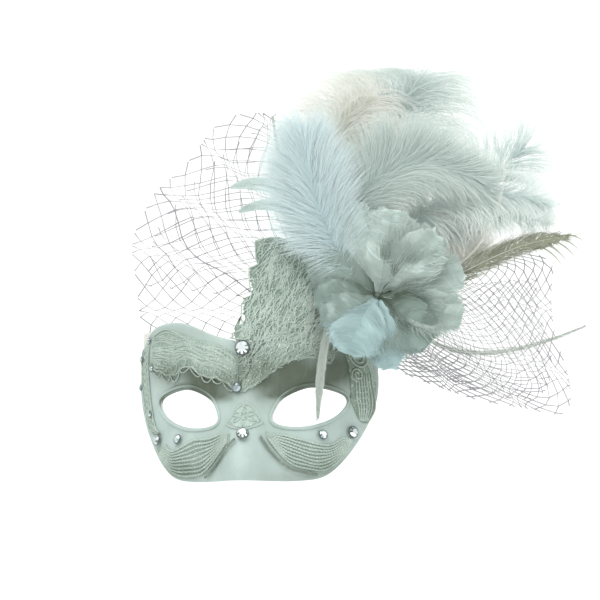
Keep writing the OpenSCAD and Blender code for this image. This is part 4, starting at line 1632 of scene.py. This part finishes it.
# How many cells each fan has across and deep, and its thread's radius in mm.
FANS = {
    "veil_left": (28, 14, 0.45), "veil_left_back": (20, 12, 0.42), "veil_right": (38, 19, 0.42),
    "veil_right_back": (28, 16, 0.4),
}
for index, (node, (across, deep, thread)) in enumerate(FANS.items()):
    veil(node, across, deep, thread, index + 1)

# %% [markdown]
# ## Ribbons
# A satin ribbon is glued inside each temple. It leads back and is rolled up for storage, and a
# thread band holds the roll. The strip is one sheet: a line that follows the lead and then the
# spiral is extruded to the ribbon's width.

# %% Ribbon finish
def satin():
    look = Look("satin")
    weave = look.add("ShaderNodeTexWave", {"wave_type": "BANDS", "bands_direction": "Z"}, {
        "Vector": look.place(), "Scale": 900, "Distortion": 1.5,
    })
    drift = look.speckle(60, 2)
    look.bump(weave, 0.3, 0.0002)
    return look.set(
        Base_Color=look.ramp(drift, (0.3, (0.66, 0.66, 0.58)), (0.7, (0.82, 0.82, 0.75))),
        Roughness=0.32, Sheen_Weight=0.4, Anisotropic=0.4,
    )


satin_material = satin()
band_material = grained(
    "cotton_band", (1800, 3, 0.7), (0.52, 0.52, 0.48), (0.74, 0.74, 0.70), (0.6, 0.0003),
    Roughness=0.8,
)

# %% Rolled ribbons
RIBBON_T = 0.3 * MM
ROLL_PITCH = 0.85 * MM
ROLL_CORE_R = 2 * MM
ROLL_TURN = 0.28
BAND_R = 0.42 * MM
BAND_OUT = 0.6 * MM
BAND_TURNS = 3
for side, hand in (("left", -1), ("right", 1)):
    low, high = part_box(f"ribbon_{side}")
    band_low, band_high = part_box(f"ribbon_tie_{side}")
    middle = (band_low + band_high) / 2
    roll_r = (band_high.x - band_low.x) / 2 - 1.2 * MM
    outer_x = hand * max(abs(low.x), abs(high.x))
    start = Vector((hand * (abs(outer_x) - 0.014), low.y + 0.001, 0))
    lead = [
        start, start + Vector((hand * 0.0055, 0.0052, 0)), start + Vector((hand * 0.0112, 0.0112, 0)),
        Vector((outer_x - hand * 0.0004, middle.y - 0.006, 0)),
        Vector((middle.x + hand * roll_r, middle.y, 0)),
    ]
    wound = (roll_r - ROLL_CORE_R) / ROLL_PITCH
    spiral = []
    for angle in np.arange(0, 2 * math.pi * wound, ROLL_TURN):
        r = roll_r - ROLL_PITCH * angle / (2 * math.pi)
        spiral.append(Vector((
            middle.x + hand * r * math.cos(angle), middle.y + r * math.sin(angle), 0,
        )))
    path = [Vector(p) for p in smooth_path([list(p) for p in lead], 14)][:-1] + spiral
    bm = bmesh.new()
    points = [bm.verts.new((p.x, p.y, low.z)) for p in path]
    line = [bm.edges.new(pair) for pair in zip(points, points[1:])]
    raised = bmesh.ops.extrude_edge_only(bm, edges=line)["geom"]
    bmesh.ops.translate(bm, verts=verts_of(raised), vec=(0, 0, high.z - low.z))
    bmesh.ops.recalc_face_normals(bm, faces=bm.faces)
    ribbon = finished(f"ribbon_{side}_satin", bm, [satin_material])
    thick = ribbon.modifiers.new("cloth", "SOLIDIFY")
    thick.thickness = RIBBON_T
    thick.offset = 0
    keep(ribbon, f"ribbon_{side}")

    bm = bmesh.new()
    steps = 40 * BAND_TURNS
    angles = np.linspace(0, 2 * math.pi * BAND_TURNS, steps)
    centre = np.stack([
        middle.x + (roll_r + BAND_OUT) * np.cos(angles),
        middle.y + (roll_r + BAND_OUT) * np.sin(angles),
        middle.z + np.linspace(-0.9, 0.9, steps) * MM,
    ], axis=1)
    inward = np.stack([np.cos(angles), np.sin(angles), np.zeros(steps)], axis=1)
    rows = tube_rows(centre[:, None], inward[:, None], np.full((steps, 1), BAND_R), 6)
    grow(bm, rows, True)
    band = keep(
        finished(f"ribbon_tie_{side}_thread", bm, [band_material]), f"ribbon_tie_{side}",
    )

# %% [markdown]
# ## Finish
# The number of triangles before modifiers is printed. The visual model has to stay in the CAD
# model's box.


bpy.context.view_layer.update()
bpy.context.view_layer.update()
triangles = sum(
    sum(len(p.vertices) - 2 for p in o.data.polygons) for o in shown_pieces() if o.type == "MESH"
)
print("triangles before modifiers:", triangles)
